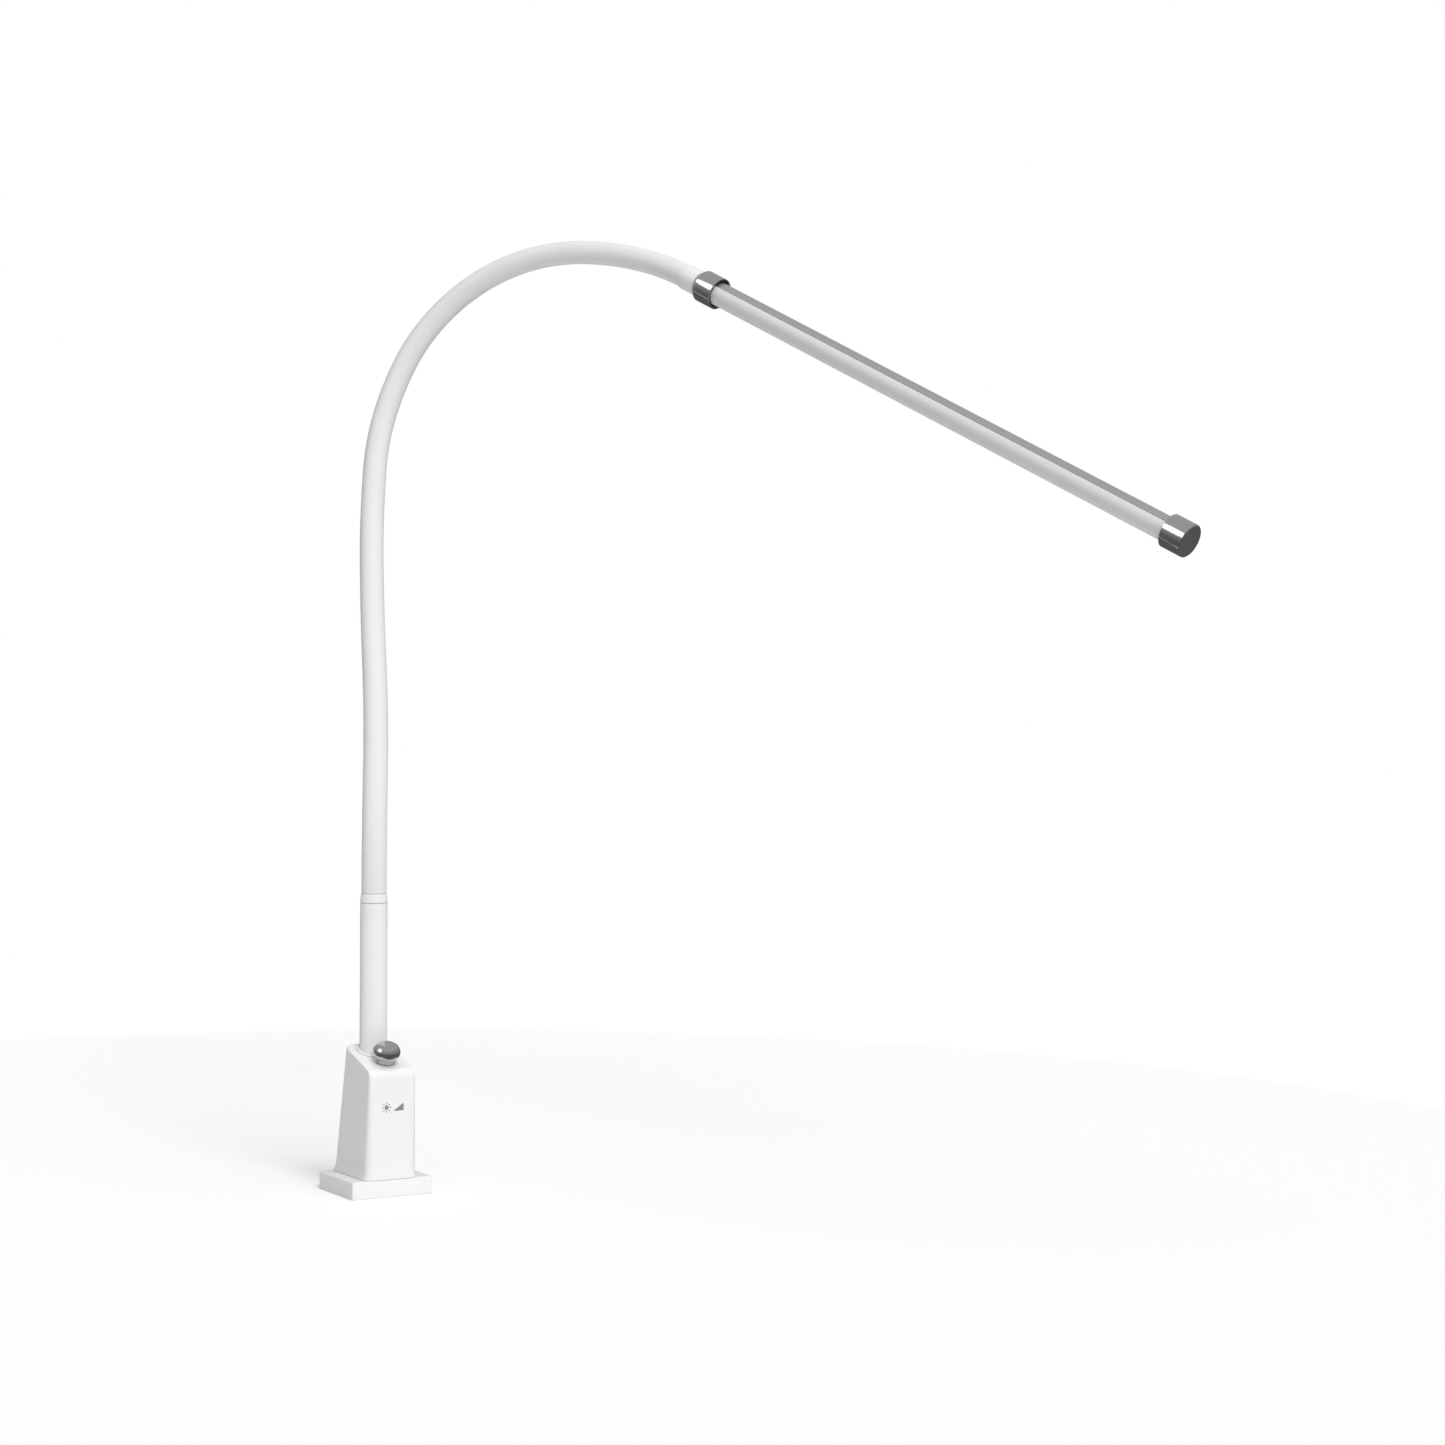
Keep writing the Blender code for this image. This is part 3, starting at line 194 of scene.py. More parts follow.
# %% Round the corners of an outline
def rounded(outline, radii, closed=True, steps=5):
    """Each corner becomes an arc: its ends lie r / tan(half the corner's angle) along both
    sides, and its points are spread evenly in angle round the centre on the bisector."""
    corner = np.asarray(outline, float)
    sides = np.stack([np.roll(corner, shift, axis=0) - corner for shift in (1, -1)])
    lengths = np.linalg.norm(sides, axis=2)
    reach = lengths.min(axis=0)
    back, ahead = sides / lengths[..., None]
    half = np.arccos(np.clip((back * ahead).sum(axis=1), -1, 1)) / 2
    trim = np.minimum(np.asarray(radii) / np.tan(half), reach * 0.45)
    share = np.linspace(0, 1, steps + 1)[None, :, None]
    sweep = (math.pi - 2 * half)[:, None, None]
    bisector = (back + ahead) / np.linalg.norm(back + ahead, axis=1)[:, None]
    centre = corner + bisector * (trim / np.cos(half))[:, None]
    first = (corner + back * trim[:, None] - centre)[:, None]
    last = (corner + ahead * trim[:, None] - centre)[:, None]
    arcs = (np.sin((1 - share) * sweep) * first + np.sin(share * sweep) * last) / np.sin(sweep)
    points = centre[:, None] + arcs
    if closed:
        return points.reshape(-1, 2)
    return np.vstack([corner[:1], points[1:-1].reshape(-1, 2), corner[-1:]])


# %% Places: an origin and three directions
def unit(vector):
    """A vector of length 1."""
    return np.asarray(vector, float) / np.linalg.norm(vector)


def aimed(origin, along, across):
    """Origin and a 3 x 3 array whose rows are X, Y and Z; Z runs along, X is nearest across."""
    z = unit(along)
    x = unit(np.asarray(across, float) - z * np.dot(z, across))
    return np.asarray(origin, float), np.stack([x, np.cross(z, x), z])


def moved(place, distance):
    """A place moved along its own Z."""
    return place[0] + place[1][2] * distance, place[1]


def direction(heading, climb):
    """Unit vector from a heading, counted from +X towards +Y, and a climb, both in degrees."""
    heading, climb = np.radians((heading, climb))
    level = math.cos(climb)
    return np.array((math.cos(heading) * level, math.sin(heading) * level, math.sin(climb)))


UPRIGHT = aimed((0, POLE_Y, 0), (0, 0, 1), (1, 0, 0))


# %% Turn an outline round an axis
def around(count):
    """Evenly spread angles, once round."""
    return np.linspace(0, math.tau, count, endpoint=False)


def band(inner, outer, low, high):
    """The outline of a plain ring."""
    return [(inner, low), (outer, low), (outer, high), (inner, high)]


def lathe(place, outline, radii, closed=True, sides=72, stretch=None):
    """Point = origin + r (cos a X + sin a Y) + h Z for every (r, h) of the rounded outline.

    An open outline starts and ends on the axis. `stretch` multiplies r by a function of the
    angle, for knurls, flats and sockets.
    """
    line = rounded(outline, radii, closed)
    body = line if closed else line[1:-1]
    angle = around(sides)
    r, h = body[:, 0, None], body[:, 1, None]
    if stretch is not None:
        r = stretch(r, h, angle[None])
    x, y = r * np.cos(angle), r * np.sin(angle)
    local = np.stack([x, y, np.broadcast_to(h, x.shape)], axis=-1)
    points = place[0] + local @ place[1]
    if closed:
        return skin(points, ring=True)
    tips = [place[0] + place[1][2] * line[k, 1] for k in (0, -1)]
    return skin(points, poles=tips)


# %% [markdown]
# ## The arm's middle line
#
# The gooseneck is steel conduit in a white hose. Bent by hand it takes smooth, roughly round
# bends, so its middle line is a chain of circular arcs. Each arc starts in the direction where
# the last one ended, and each holds one bending joint at its middle. A frame of three
# directions is carried along without twist, so the hose's seam and the conduit's winding run
# straight through from arc to arc.

# %% The chain of arcs
ARM_DIRECTIONS = ((64, 59), (69, 53), (67, 56), (58, 62), (-5, 63), (-37, 32), (-44, -3), (-68, -26))
HINGE_SPACING = 0.1045


def turning(axis, angles):
    """Rotation arrays for many angles: I + sin a K + (1 - cos a) K K, K the axis's cross product."""
    k = np.array([[0, -axis[2], axis[1]], [axis[2], 0, -axis[0]], [-axis[1], axis[0], 0]])
    angles = np.atleast_1d(angles)[:, None, None]
    return np.eye(3) + np.sin(angles) * k + (1 - np.cos(angles)) * (k @ k)


def arm_arcs():
    """Arcs between the arm's directions; an arc's radius is half the spacing over the tangent
    of half its angle, so that it touches both straight legs at their middles."""
    arcs = []
    origin, axes = ARM_BASE, np.eye(3)
    for heading, climb in ARM_DIRECTIONS:
        after = direction(heading, climb)
        before = axes[2]
        angle = math.acos(np.dot(before, after))
        radius = HINGE_SPACING / 2 / math.tan(angle / 2)
        inward = unit(after - before * math.cos(angle))
        arc = {"origin": origin, "axes": axes, "angle": angle, "length": angle * radius,
               "axis": unit(np.cross(before, after)), "centre": origin + inward * radius}
        arcs.append(arc)
        ends, turned_axes = on_arc(arc, 1.0)
        origin, axes = ends[0], turned_axes[0]
    return arcs


def on_arc(arc, shares):
    """Origins and axes at shares of an arc; before 0 and after 1 the line runs on straight."""
    shares = np.atleast_1d(shares)
    held = np.clip(shares, 0, 1)
    turn = turning(arc["axis"], held * arc["angle"])
    axes = np.einsum("nij,kj->nki", turn, arc["axes"])
    origins = arc["centre"] + np.einsum("nij,j->ni", turn, arc["origin"] - arc["centre"])
    return origins + axes[:, 2] * ((shares - held) * arc["length"])[:, None], axes


ARCS = arm_arcs()
HINGES = [joint for joint in frame["joints"] if joint["name"].startswith("gooseneck")]
off = [np.linalg.norm(on_arc(arc, 0.5)[0][0] - hinge["pos_m"]) for arc, hinge in zip(ARCS, HINGES)]
print("hinges lie within", round(max(off) * 1000, 4), "mm of the arcs' middles")

SWIVEL = JOINTS["head_swivel"]
HEAD_AXIS = unit(SWIVEL["axis"])
HEAD = aimed(SWIVEL["pos_m"], HEAD_AXIS, np.cross((0, 0, 1), HEAD_AXIS))


def stations(node):
    """How far along the head a node starts and ends, from its vertices."""
    vertices = frame["nodes"][node].data.vertices
    flat = np.zeros(len(vertices) * 3)
    vertices.foreach_get("co", flat)
    along = (flat.reshape(-1, 3) - HEAD[0]) @ HEAD_AXIS
    return along.min(), along.max()


print("light tube from", [round(s * 1000, 1) for s in stations("diffuser")], "mm along the head")

# %% [markdown]
# ## Shader maths as Python
#
# A procedural finish is a small sum: noise here, a stripe there. Wiring Math nodes by hand
# hides that sum, so a socket is wrapped in a class and the usual operators add the nodes.

# %% A socket that can be added, multiplied and compared
class Signal:
    """One output socket of a node tree."""

    def __init__(self, nodes, socket):
        self.nodes = nodes
        self.socket = socket

    def math(self, operation, *values):
        """A Math node on this socket and other sockets or numbers."""
        inputs = dict(enumerate((self, *values)))
        return self.nodes.node("ShaderNodeMath", {"operation": operation}, inputs)

    def __add__(self, other):
        return self.math("ADD", other)

    def __mul__(self, other):
        return self.math("MULTIPLY", other)

    def __gt__(self, other):
        return self.math("GREATER_THAN", other)

    def __mod__(self, other):
        return self.math("FLOORED_MODULO", other)


# %% A node tree, and the one method that adds nodes to it
class Nodes:
    """The node tree of a material or of the world."""

    def __init__(self, owner):
        owner.use_nodes = True
        self.tree = owner.node_tree

    def feed(self, socket, value):
        """Link a signal to a socket, or set the socket's own value."""
        if isinstance(value, Signal):
            self.tree.links.new(value.socket, socket)
        else:
            socket.default_value = value

    def node(self, kind, settings=(), inputs=(), output=0):
        """Add a node: its settings first, then the values or links of its sockets."""
        node = self.tree.nodes.new(kind)
        for name, value in dict(settings).items():
            setattr(node, name, value)
        for name, value in dict(inputs).items():
            self.feed(node.inputs[name], value)
        return Signal(self, node.outputs[output])


# %% A finish: one Principled material and the nodes that vary it
finishes = {}


class Finish(Nodes):
    """A material for one slot of the record. Fixed values go on the shader's own sockets. A
    finish that follows its piece's surface reads the UV map in place of object coordinates."""

    def __init__(self, slot, colour, roughness, metallic=0.0, name=None, surface=False, **fixed):
        self.slot = slot
        self.surface = surface
        self.material = bpy.data.materials.new(name or slot)
        super().__init__(self.material)
        finishes.setdefault(slot, self)
        self.shader = self.tree.nodes["Principled BSDF"]
        self.colour = colour
        fixed.update(Base_Color=(*colour, 1.0), Roughness=roughness, Metallic=metallic)
        for socket, value in fixed.items():
            self.feed(self.shader.inputs[socket.replace("_", " ")], value)
        self.relief = None

    def place(self, stretch=(1, 1, 1), surface=False):
        """Object coordinates, or the piece's own UV map in metres, stretched along each axis."""
        source = self.node("ShaderNodeTexCoord", output=2 if surface or self.surface else 3)
        return self.node("ShaderNodeMapping", {}, {"Vector": source, "Scale": stretch})

    def noise(self, scale, detail=2.0, stretch=(1, 1, 1)):
        """Soft random pattern from 0 to 1 with `scale` blobs a metre."""
        values = {"Vector": self.place(stretch), "Scale": scale, "Detail": detail}
        return self.node("ShaderNodeTexNoise", {}, values)

    def lengthwise(self):
        """Metres along the piece: the second axis of its UV map."""
        return self.node("ShaderNodeSeparateXYZ", {}, {0: self.place(surface=True)}, output=1)

    def repeating(self, line, pitch):
        """Share from 0 to 1 of each pitch along a fixed direction: the dot product with it,
        over the pitch, modulo 1."""
        values = {0: self.place(), 1: tuple(line)}
        along = self.node("ShaderNodeVectorMath", {"operation": "DOT_PRODUCT"}, values, output=1)
        return (along * (1 / pitch)) % 1.0

    def tint(self, amount, other):
        """Base colour: between the finish's own colour and another one by a signal."""
        values = {0: amount, 6: (*self.colour, 1.0), 7: (*other, 1.0)}
        mixed = self.node("ShaderNodeMix", {"data_type": "RGBA"}, values, output=2)
        self.feed(self.shader.inputs["Base Color"], mixed)

    def roughen(self, signal):
        """Roughness from a signal."""
        self.feed(self.shader.inputs["Roughness"], signal)

    def bump(self, height, depth, strength=1.0):
        """Relief: a height from 0 to 1 stands for `depth` metres; reliefs stack."""
        inputs = {"Height": height, "Distance": depth, "Strength": strength}
        if self.relief:
            inputs["Normal"] = self.relief
        self.relief = self.node("ShaderNodeBump", {}, inputs)
        self.feed(self.shader.inputs["Normal"], self.relief)


# %% [markdown]
# ## White powder coat
#
# The foot, the housing, the pole and the two ferrules are sprayed with white powder and baked.
# The powder flows out into a very shallow orange peel about a millimetre long, with a finer
# tooth on top. Both are bump, because they are only microns high, and a slow noise makes the
# gloss a little uneven.

# %% White powder coat
PEEL_PER_METRE = 950
TOOTH_PER_METRE = 4200
paint = Finish("white_paint", (0.82, 0.82, 0.815), 0.34, Coat_Weight=0.12, Coat_Roughness=0.22)
paint.bump(paint.noise(PEEL_PER_METRE, 1.0), 0.000030)
paint.bump(paint.noise(TOOTH_PER_METRE, 2.0), 0.000006)
paint.roughen(paint.noise(60, 3.0) * 0.14 + 0.27)
paint.tint(paint.noise(14, 2.0) * 0.5, (0.80, 0.80, 0.79))

# %% [markdown]
# ## White hose
#
# The hose over the conduit is soft PVC: it is more matt than the paint, faint die lines run
# along it, and the winding inside shows through as a barely felt ripple. Lines and ripple must
# follow the hose round its bends, so they read the piece's UV map, where one axis is metres
# round the hose and the other metres along it.

# %% White hose
WINDING_PITCH = 0.0032
hose = Finish("white_sleeve", (0.77, 0.77, 0.762), 0.46, surface=True)
winding = hose.lengthwise() * (math.tau / WINDING_PITCH)
hose.bump(winding.math("SINE") * 0.5 + 0.5, 0.000012)
hose.bump(hose.noise(900, 2.0, (1.0, 0.02, 1.0)), 0.000010)
hose.bump(hose.noise(2600, 2.0), 0.000006)
hose.roughen(hose.noise(90, 3.0) * 0.12 + 0.40)
hose.tint(hose.noise(30, 2.0) * 0.4, (0.74, 0.74, 0.725))

# %% [markdown]
# ## Chrome
#
# The knob, the collar and the end cap are turned brass under bright chrome. What shows is the
# studio, broken up by the finest turning lines and by a haze of wiping marks. The turning
# lines run round the piece, so they are a sine of the distance along the profile, which is the
# second axis of the UV map.

# %% Chrome
TURNING_PITCH = 0.00022
chrome = Finish("chrome", (0.60, 0.60, 0.61), 0.10, 1.0)
lines = chrome.lengthwise() * (math.tau / TURNING_PITCH)
chrome.bump(lines.math("SINE") * 0.5 + 0.5, 0.0000012)
chrome.bump(chrome.noise(700, 3.0), 0.0000030)
haze = chrome.noise(220, 5.0)
chrome.roughen(haze * haze * 0.16 + 0.07)
chrome.tint(haze * 0.4, (0.48, 0.48, 0.49))

# %% [markdown]
# ## Anodised aluminium
#
# The back of the light tube is extruded, and anodised to a fine satin. The die leaves straight
# lines along the whole length: noise that is stretched fifty times along the tube and read
# from the UV map gives both their relief and their uneven gloss. The castings and brackets
# inside share the finish without needing the lines.

# %% Anodised aluminium
aluminium = Finish("aluminium", (0.74, 0.74, 0.745), 0.48, 1.0, surface=True)
die = aluminium.noise(3400, 4.0, (1.0, 0.02, 1.0))
aluminium.bump(die, 0.000010)
aluminium.roughen(die * 0.20 + 0.40)
aluminium.tint(aluminium.noise(1500, 3.0, (1.0, 0.01, 1.0)) * 0.6, (0.66, 0.66, 0.665))

# %% [markdown]
# ## Frosted diffuser
#
# Opal polycarbonate scatters light inside, so with the lamp off it is an even, pale grey. The
# matt skin is a very fine sandblast, and a faint die line or two runs along the tube.

# %% Frosted diffuser
frost = Finish("frosted_diffuser", (0.74, 0.745, 0.75), 0.40, surface=True)
frost.bump(frost.noise(2600, 2.0), 0.000004)
frost.bump(frost.noise(800, 1.0, (1.0, 0.01, 1.0)), 0.000012)
frost.roughen(frost.noise(1800, 3.0) * 0.14 + 0.34)
frost.tint(frost.noise(25, 2.0) * 0.5, (0.70, 0.705, 0.71))

# %% [markdown]
# ## Steel, brass, rubber and moulded black
#
# The remaining finishes sit on small parts: zinc-plated screws with a slightly cloudy
# passivation, turned brass inserts, the rubber of pad and seal, and the grain of black
# mouldings. Each is one or two noises at the scale the real surface has.

# %% Zinc-plated steel and turned brass
steel = Finish("zinc_steel", (0.52, 0.525, 0.53), 0.30, 1.0)
steel.bump(steel.noise(2600, 3.0), 0.000006)
steel.roughen(steel.noise(420, 4.0) * 0.24 + 0.20)
steel.tint(steel.noise(260, 3.0), (0.42, 0.43, 0.42))
brass = Finish("brass", (0.68, 0.50, 0.23), 0.26, 1.0)
brass.bump(brass.noise(1200, 2.0, (1.0, 1.0, 6.0)), 0.000008)
brass.roughen(brass.noise(500, 4.0) * 0.2 + 0.18)
brass.tint(brass.noise(180, 3.0), (0.52, 0.36, 0.16))

# %% Rubber and moulded black plastic
rubber = Finish("black_rubber", (0.022, 0.022, 0.023), 0.72)
rubber.bump(rubber.noise(3000, 4.0), 0.000025)
rubber.roughen(rubber.noise(350, 3.0) * 0.2 + 0.62)
rubber.tint(rubber.noise(120, 4.0), (0.040, 0.040, 0.041))
moulded = Finish("black_plastic", (0.030, 0.030, 0.033), 0.44)
cells = {"Vector": moulded.place(), "Scale": 2400.0}
moulded.bump(moulded.node("ShaderNodeTexVoronoi", {}, cells), 0.000018)
moulded.roughen(moulded.noise(300, 3.0) * 0.16 + 0.38)
moulded.tint(moulded.noise(90, 3.0) * 0.6, (0.045, 0.045, 0.05))

# %% [markdown]
# ## Boards and lead
#
# Inside sit the driver board and the long LED board. Solder mask over copper tracks gives a
# green board its two tones: cells with straight walls look like it. The LED board is white,
# with solder pads every few millimetres, and the LED strip shows yellow phosphor only in the
# window of each package. The lead's sheath is grey PVC.

# %% Driver board and lead sheath
mask_green = Finish("circuit_board", (0.020, 0.16, 0.065), 0.42, Coat_Weight=0.3)
track_cells = {"Vector": mask_green.place(), "Scale": 330.0, "Randomness": 0.35}
tracks = mask_green.node("ShaderNodeTexVoronoi", {"feature": "F1", "distance": "CHEBYCHEV"}, track_cells)
copper = (tracks * 2.2) > 0.72
mask_green.tint(copper, (0.035, 0.27, 0.10))
mask_green.bump(copper, 0.000035)
mask_green.roughen(mask_green.noise(800, 2.0) * 0.14 + 0.34)
sheath = Finish("lead_sheath", (0.23, 0.23, 0.24), 0.52)
sheath.bump(sheath.noise(1600, 3.0), 0.000020)
sheath.roughen(sheath.noise(260, 3.0) * 0.18 + 0.42)
sheath.tint(sheath.noise(60, 3.0), (0.27, 0.27, 0.28))

# %% LED board and LED strip
LED_PITCH = 0.0070
board_white = Finish("led_board_white", (0.84, 0.84, 0.81), 0.42)
pads = board_white.repeating(HEAD_AXIS, LED_PITCH) > 0.78
board_white.tint(pads, (0.62, 0.56, 0.40))
board_white.bump(pads, 0.00004)
board_white.roughen(pads * -0.18 + board_white.noise(700, 2.0) * 0.1 + 0.38)
phosphor = Finish("led_phosphor", (0.86, 0.86, 0.83), 0.38)
window = phosphor.repeating(HEAD_AXIS, LED_PITCH) > 0.62
phosphor.tint(window, (0.84, 0.66, 0.16))
phosphor.bump(window, 0.00015)
phosphor.roughen(window * -0.16 + phosphor.noise(900, 2.0) * 0.08 + 0.36)

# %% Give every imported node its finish
for part in frame["record"]["subparts"]:
    slots = frame["nodes"][part["node"]].data.materials
    slots.clear()
    slots.append(finishes[part["material_slot"]].material)

# %% [markdown]
# ## Rounded rectangles, row by row
#
# The foot and the housing have rectangular outlines whose corners change with height. One
# helper works out a whole stack of them: four quarter arcs joined by straight sides, with the
# same number of columns in each row, so that the rows can be skinned together.

# %% Stacks of rounded rectangles
CORNER_STARTS = ((1, -1, -90), (1, 1, 0), (-1, 1, 90), (-1, -1, 180))


def rectangles(half_x, front, back, corners, arc_steps=9, side_steps=8):
    """Point = corner centre + r (cos a, sin a) on the arcs, and a share of the way from one
    arc's end to the next arc's start on the sides. Sizes are (rows,), corners (rows, 4)."""
    half_x, front, back = (np.atleast_1d(value)[:, None] for value in (half_x, front, back))
    arcs = []
    for number, (side_x, side_y, start) in enumerate(CORNER_STARTS):
        radius = corners[:, number, None]
        angle = np.radians(start + np.linspace(0, 90, arc_steps))[None]
        centre_x = side_x * (half_x - radius)
        centre_y = front + radius if side_y < 0 else back - radius
        arc = [centre_x + radius * np.cos(angle), centre_y + radius * np.sin(angle)]
        arcs.append(np.stack(np.broadcast_arrays(*arc), axis=-1))
    share = np.linspace(0, 1, side_steps + 2)[None, 1:-1, None]
    loops = []
    for arc, after in zip(arcs, arcs[1:] + arcs[:1]):
        loops += [arc, arc[:, -1:] * (1 - share) + after[:, :1] * share]
    return np.concatenate(loops, axis=1)


def lifted(flat, height):
    """Rows of (x, y) with one height a row, as (x, y, z)."""
    height = np.broadcast_to(np.asarray(height)[:, None], flat.shape[:2])
    return np.concatenate([flat, height[..., None]], axis=2)


# %% [markdown]
# ## Foot plate
#
# A cast and milled block with small broken edges. A shallow pocket underneath takes the rubber
# pad, so one row of rectangles after another goes from the middle of the pocket, over its rim,
# up the outside, over the edge and back to the middle of the top.

# %% Foot plate
PAD_MARGIN = 0.004
PAD_DEPTH = 0.0018
FOOT_EDGE = 0.0007
FOOT_CORNER = 0.0012
turn = np.linspace(0, math.pi / 2, 5)
bend_in, bend_up = FOOT_EDGE * (1 - np.sin(turn)), FOOT_EDGE * (1 - np.cos(turn))
inset = np.concatenate([[0.020, PAD_MARGIN, PAD_MARGIN - FOOT_EDGE / 2], bend_in,
                        bend_in[::-1], [0.006, 0.020]])
height = np.concatenate([[PAD_DEPTH, PAD_DEPTH, 0], bend_up, FOOT_HEIGHT - bend_up[::-1],
                         [FOOT_HEIGHT, FOOT_HEIGHT]])
corner = np.maximum(FOOT_CORNER - inset, 0.0003)[:, None] * np.ones(4)
flat = rectangles(FOOT_HALF[0] - inset, inset - FOOT_HALF[1], FOOT_HALF[1] - inset, corner)
piece("foot_casting", [skin(lifted(flat, height))], paint, "base", ["foot_plate"])

# %% [markdown]
# ## Housing
#
# The dimmer housing is a die casting that tapers upwards, with a slanted top that rolls over
# into the front, and corners that change from foot to top. It is a shell with a round hole for
# the pole, so its grid closes into a ring: up the outside, over the roof to the hole, down
# through the wall, and back along the inside.

# %% The roof line and the shell
TOP_SLOPE = math.radians(18.5)
ROLL = 0.008
WALL = 0.0025
HOUSING_HALVES = np.array((0.022, 0.020))  # half the width at the foot, then at the top
FOOT_CORNERS = np.array((0.008, 0.004, 0.004, 0.008))
TOP_CORNERS = np.array((0.002, 0.008, 0.008, 0.002))
FRONT_LEAN = 0.001
FLARE = 0.0016
FLARE_HEIGHT = 0.0045
EDGE = 0.0011
HOUSING_TOP = span("housing_shell")[1][2]
BACK_TOP_Y = POLE_Y + POLE_RADIUS + 0.0025
POLE_HOLE = POLE_RADIUS + 0.0016
HOUSING_BASE = FOOT_HEIGHT + GAP


def roof(y, inset):
    """Height of the roof: a slanted plane, and a quarter roll of radius `ROLL` at the front."""
    plane = HOUSING_TOP - inset / math.cos(TOP_SLOPE) + (y - BACK_TOP_Y) * math.tan(TOP_SLOPE)
    radius = ROLL - inset
    middle = -FOOT_HALF[1] + FRONT_LEAN + ROLL
    middle_height = HOUSING_TOP - ROLL / math.cos(TOP_SLOPE) + (middle - BACK_TOP_Y) * math.tan(TOP_SLOPE)
    roll = middle_height + np.sqrt(np.clip(radius**2 - (y - middle) ** 2, 0, None))
    return np.where(y < middle - radius * math.sin(TOP_SLOPE), roll, plane)


def shell_rows(inset):
    """Rows from the foot up the wall, over the small edge and along the roof to the hole."""
    front = inset - FOOT_HALF[1] + np.array((0, FRONT_LEAN))
    back = np.array((FOOT_HALF[1], BACK_TOP_Y)) - inset
    corners = np.maximum(np.stack([FOOT_CORNERS, TOP_CORNERS]) - inset, 0.0008)
    foot, top = rectangles(HOUSING_HALVES - inset, front, back, corners, 12, 12)
    low = np.column_stack([foot, np.full(len(foot), HOUSING_BASE)])
    rim = np.column_stack([top, roof(top[:, 1], inset)])
    rise = (rim - low) / np.linalg.norm(rim - low, axis=1)[:, None]
    centre = np.array((0, POLE_Y))
    outward = (top - centre) / np.linalg.norm(top - centre, axis=1)[:, None]
    hole = centre + outward * (POLE_HOLE + EDGE / 4)
    facing = np.gradient(top, axis=0)
    frontal = np.clip(facing[:, 0] / np.linalg.norm(facing, axis=1), 0, 1) ** 3
    trim = (EDGE * (1 - frontal) + 0.0001)[:, None]
    wall_end = rim - rise * trim
    inner = top + (centre - top) / np.linalg.norm(centre - top, axis=1)[:, None] * trim
    roof_start = np.column_stack([inner, roof(inner[:, 1], inset)])
    share = np.linspace(0, 1, 17)[:, None, None]
    wall = low * (1 - share) + wall_end * share
    height = wall[..., 2] - HOUSING_BASE
    flare = FLARE * np.clip(1 - height / FLARE_HEIGHT, 0, 1) ** 2 if inset == 0 else 0 * height
    wall[..., 0] *= 1 + flare / HOUSING_HALVES[0]
    share = np.linspace(0, 1, 6)[1:-1, None, None]
    edge = wall_end * (1 - share) ** 2 + rim * 2 * share * (1 - share) + roof_start * share**2
    share = np.linspace(0, 1, 20)[:, None, None] ** 1.8
    across = inner * (1 - share) + hole * share
    over = np.concatenate([across, roof(across[..., 1], inset)[..., None]], axis=2)
    return np.concatenate([wall, edge, over], axis=0)


shell = np.concatenate([shell_rows(0.0), shell_rows(WALL)[::-1]])
piece("dimmer_housing", [skin(shell, ring=True)], paint, "base", ["housing_shell"])
front_top = float(roof(np.array(-FOOT_HALF[1] + FRONT_LEAN), 0))
print("housing top at", round(HOUSING_TOP * 1000, 1), "mm, front edge at", round(front_top * 1000, 1), "mm")

# %% [markdown]
# ## Pole, grommet and ferrule
#
# The pole is a plain steel tube. Where it enters the slanted roof a rubber grommet seals the
# hole; its top follows the slope, so its rows take their height from the roof line. It is as
# white as the hose, so that it does not show. On top of the pole a short ferrule tapers from
# the pole's width down to the hose's.

# %% Pole and top ferrule
POLE_WALL = 0.0015
CORE_RADIUS = 0.008
HOSE_RADIUS = 0.01015
HOSE_BORE = 0.00835
tube = band(POLE_RADIUS - POLE_WALL, POLE_RADIUS, POLE_LOW, POLE_HIGH)
piece("pole", [lathe(UPRIGHT, tube, 0.0003, sides=96)], paint, "base", ["pole_tube"])
spigot_low = span("pole_ferrule")[0][2]
SPIGOT = POLE_RADIUS - POLE_WALL - GAP
BORE = CORE_RADIUS + GAP
cone = [(BORE, spigot_low), (SPIGOT, spigot_low), (SPIGOT, FERRULE_LOW), (POLE_RADIUS, FERRULE_LOW),
        (POLE_RADIUS, FERRULE_LOW + 0.0012), (HOSE_RADIUS + 0.0002, FERRULE_HIGH), (BORE, FERRULE_HIGH)]
cone_radii = [0.0002, 0.0002, 0.0001, 0.0004, 0.0012, 0.0004, 0.0002]
piece("top_ferrule", [lathe(UPRIGHT, cone, cone_radii, sides=96)], paint, "base", ["pole_ferrule"])

# %% Grommet in the slanted roof
# The section keeps its height above the roof at every angle.
wide, narrow = POLE_HOLE + 0.0012, POLE_RADIUS + 0.0001
section = rounded([(narrow, -WALL), (POLE_HOLE - GAP, -WALL), (POLE_HOLE - GAP, 0.0001),
                   (wide, 0.0001), (wide, 0.0009), (narrow, 0.0012)],
                  [0.0002, 0.0002, 0.00005, 0.0002, 0.0005, 0.0003])
angle = around(96)
r, rise = section[:, 0, None], section[:, 1, None]
x, y = r * np.cos(angle), POLE_Y + r * np.sin(angle)
ring_points = np.stack([x, y, roof(y, 0) + rise], axis=-1)
piece("grommet", [skin(ring_points, ring=True)], hose, "base", ["pole_grommet"])

# %% [markdown]
# ## Gooseneck
#
# The hose, the conduit and the lead inside it all follow the arm's middle line, so one function
# carries a ring along an arc. Each arc is its own piece, and each holds one joint of the arm.

# %% Pipes along the arcs
HOLD = 0.08
LINKS = ["base"] + [f"link_{n}" for n in range(1, len(ARCS))] + ["neck"]


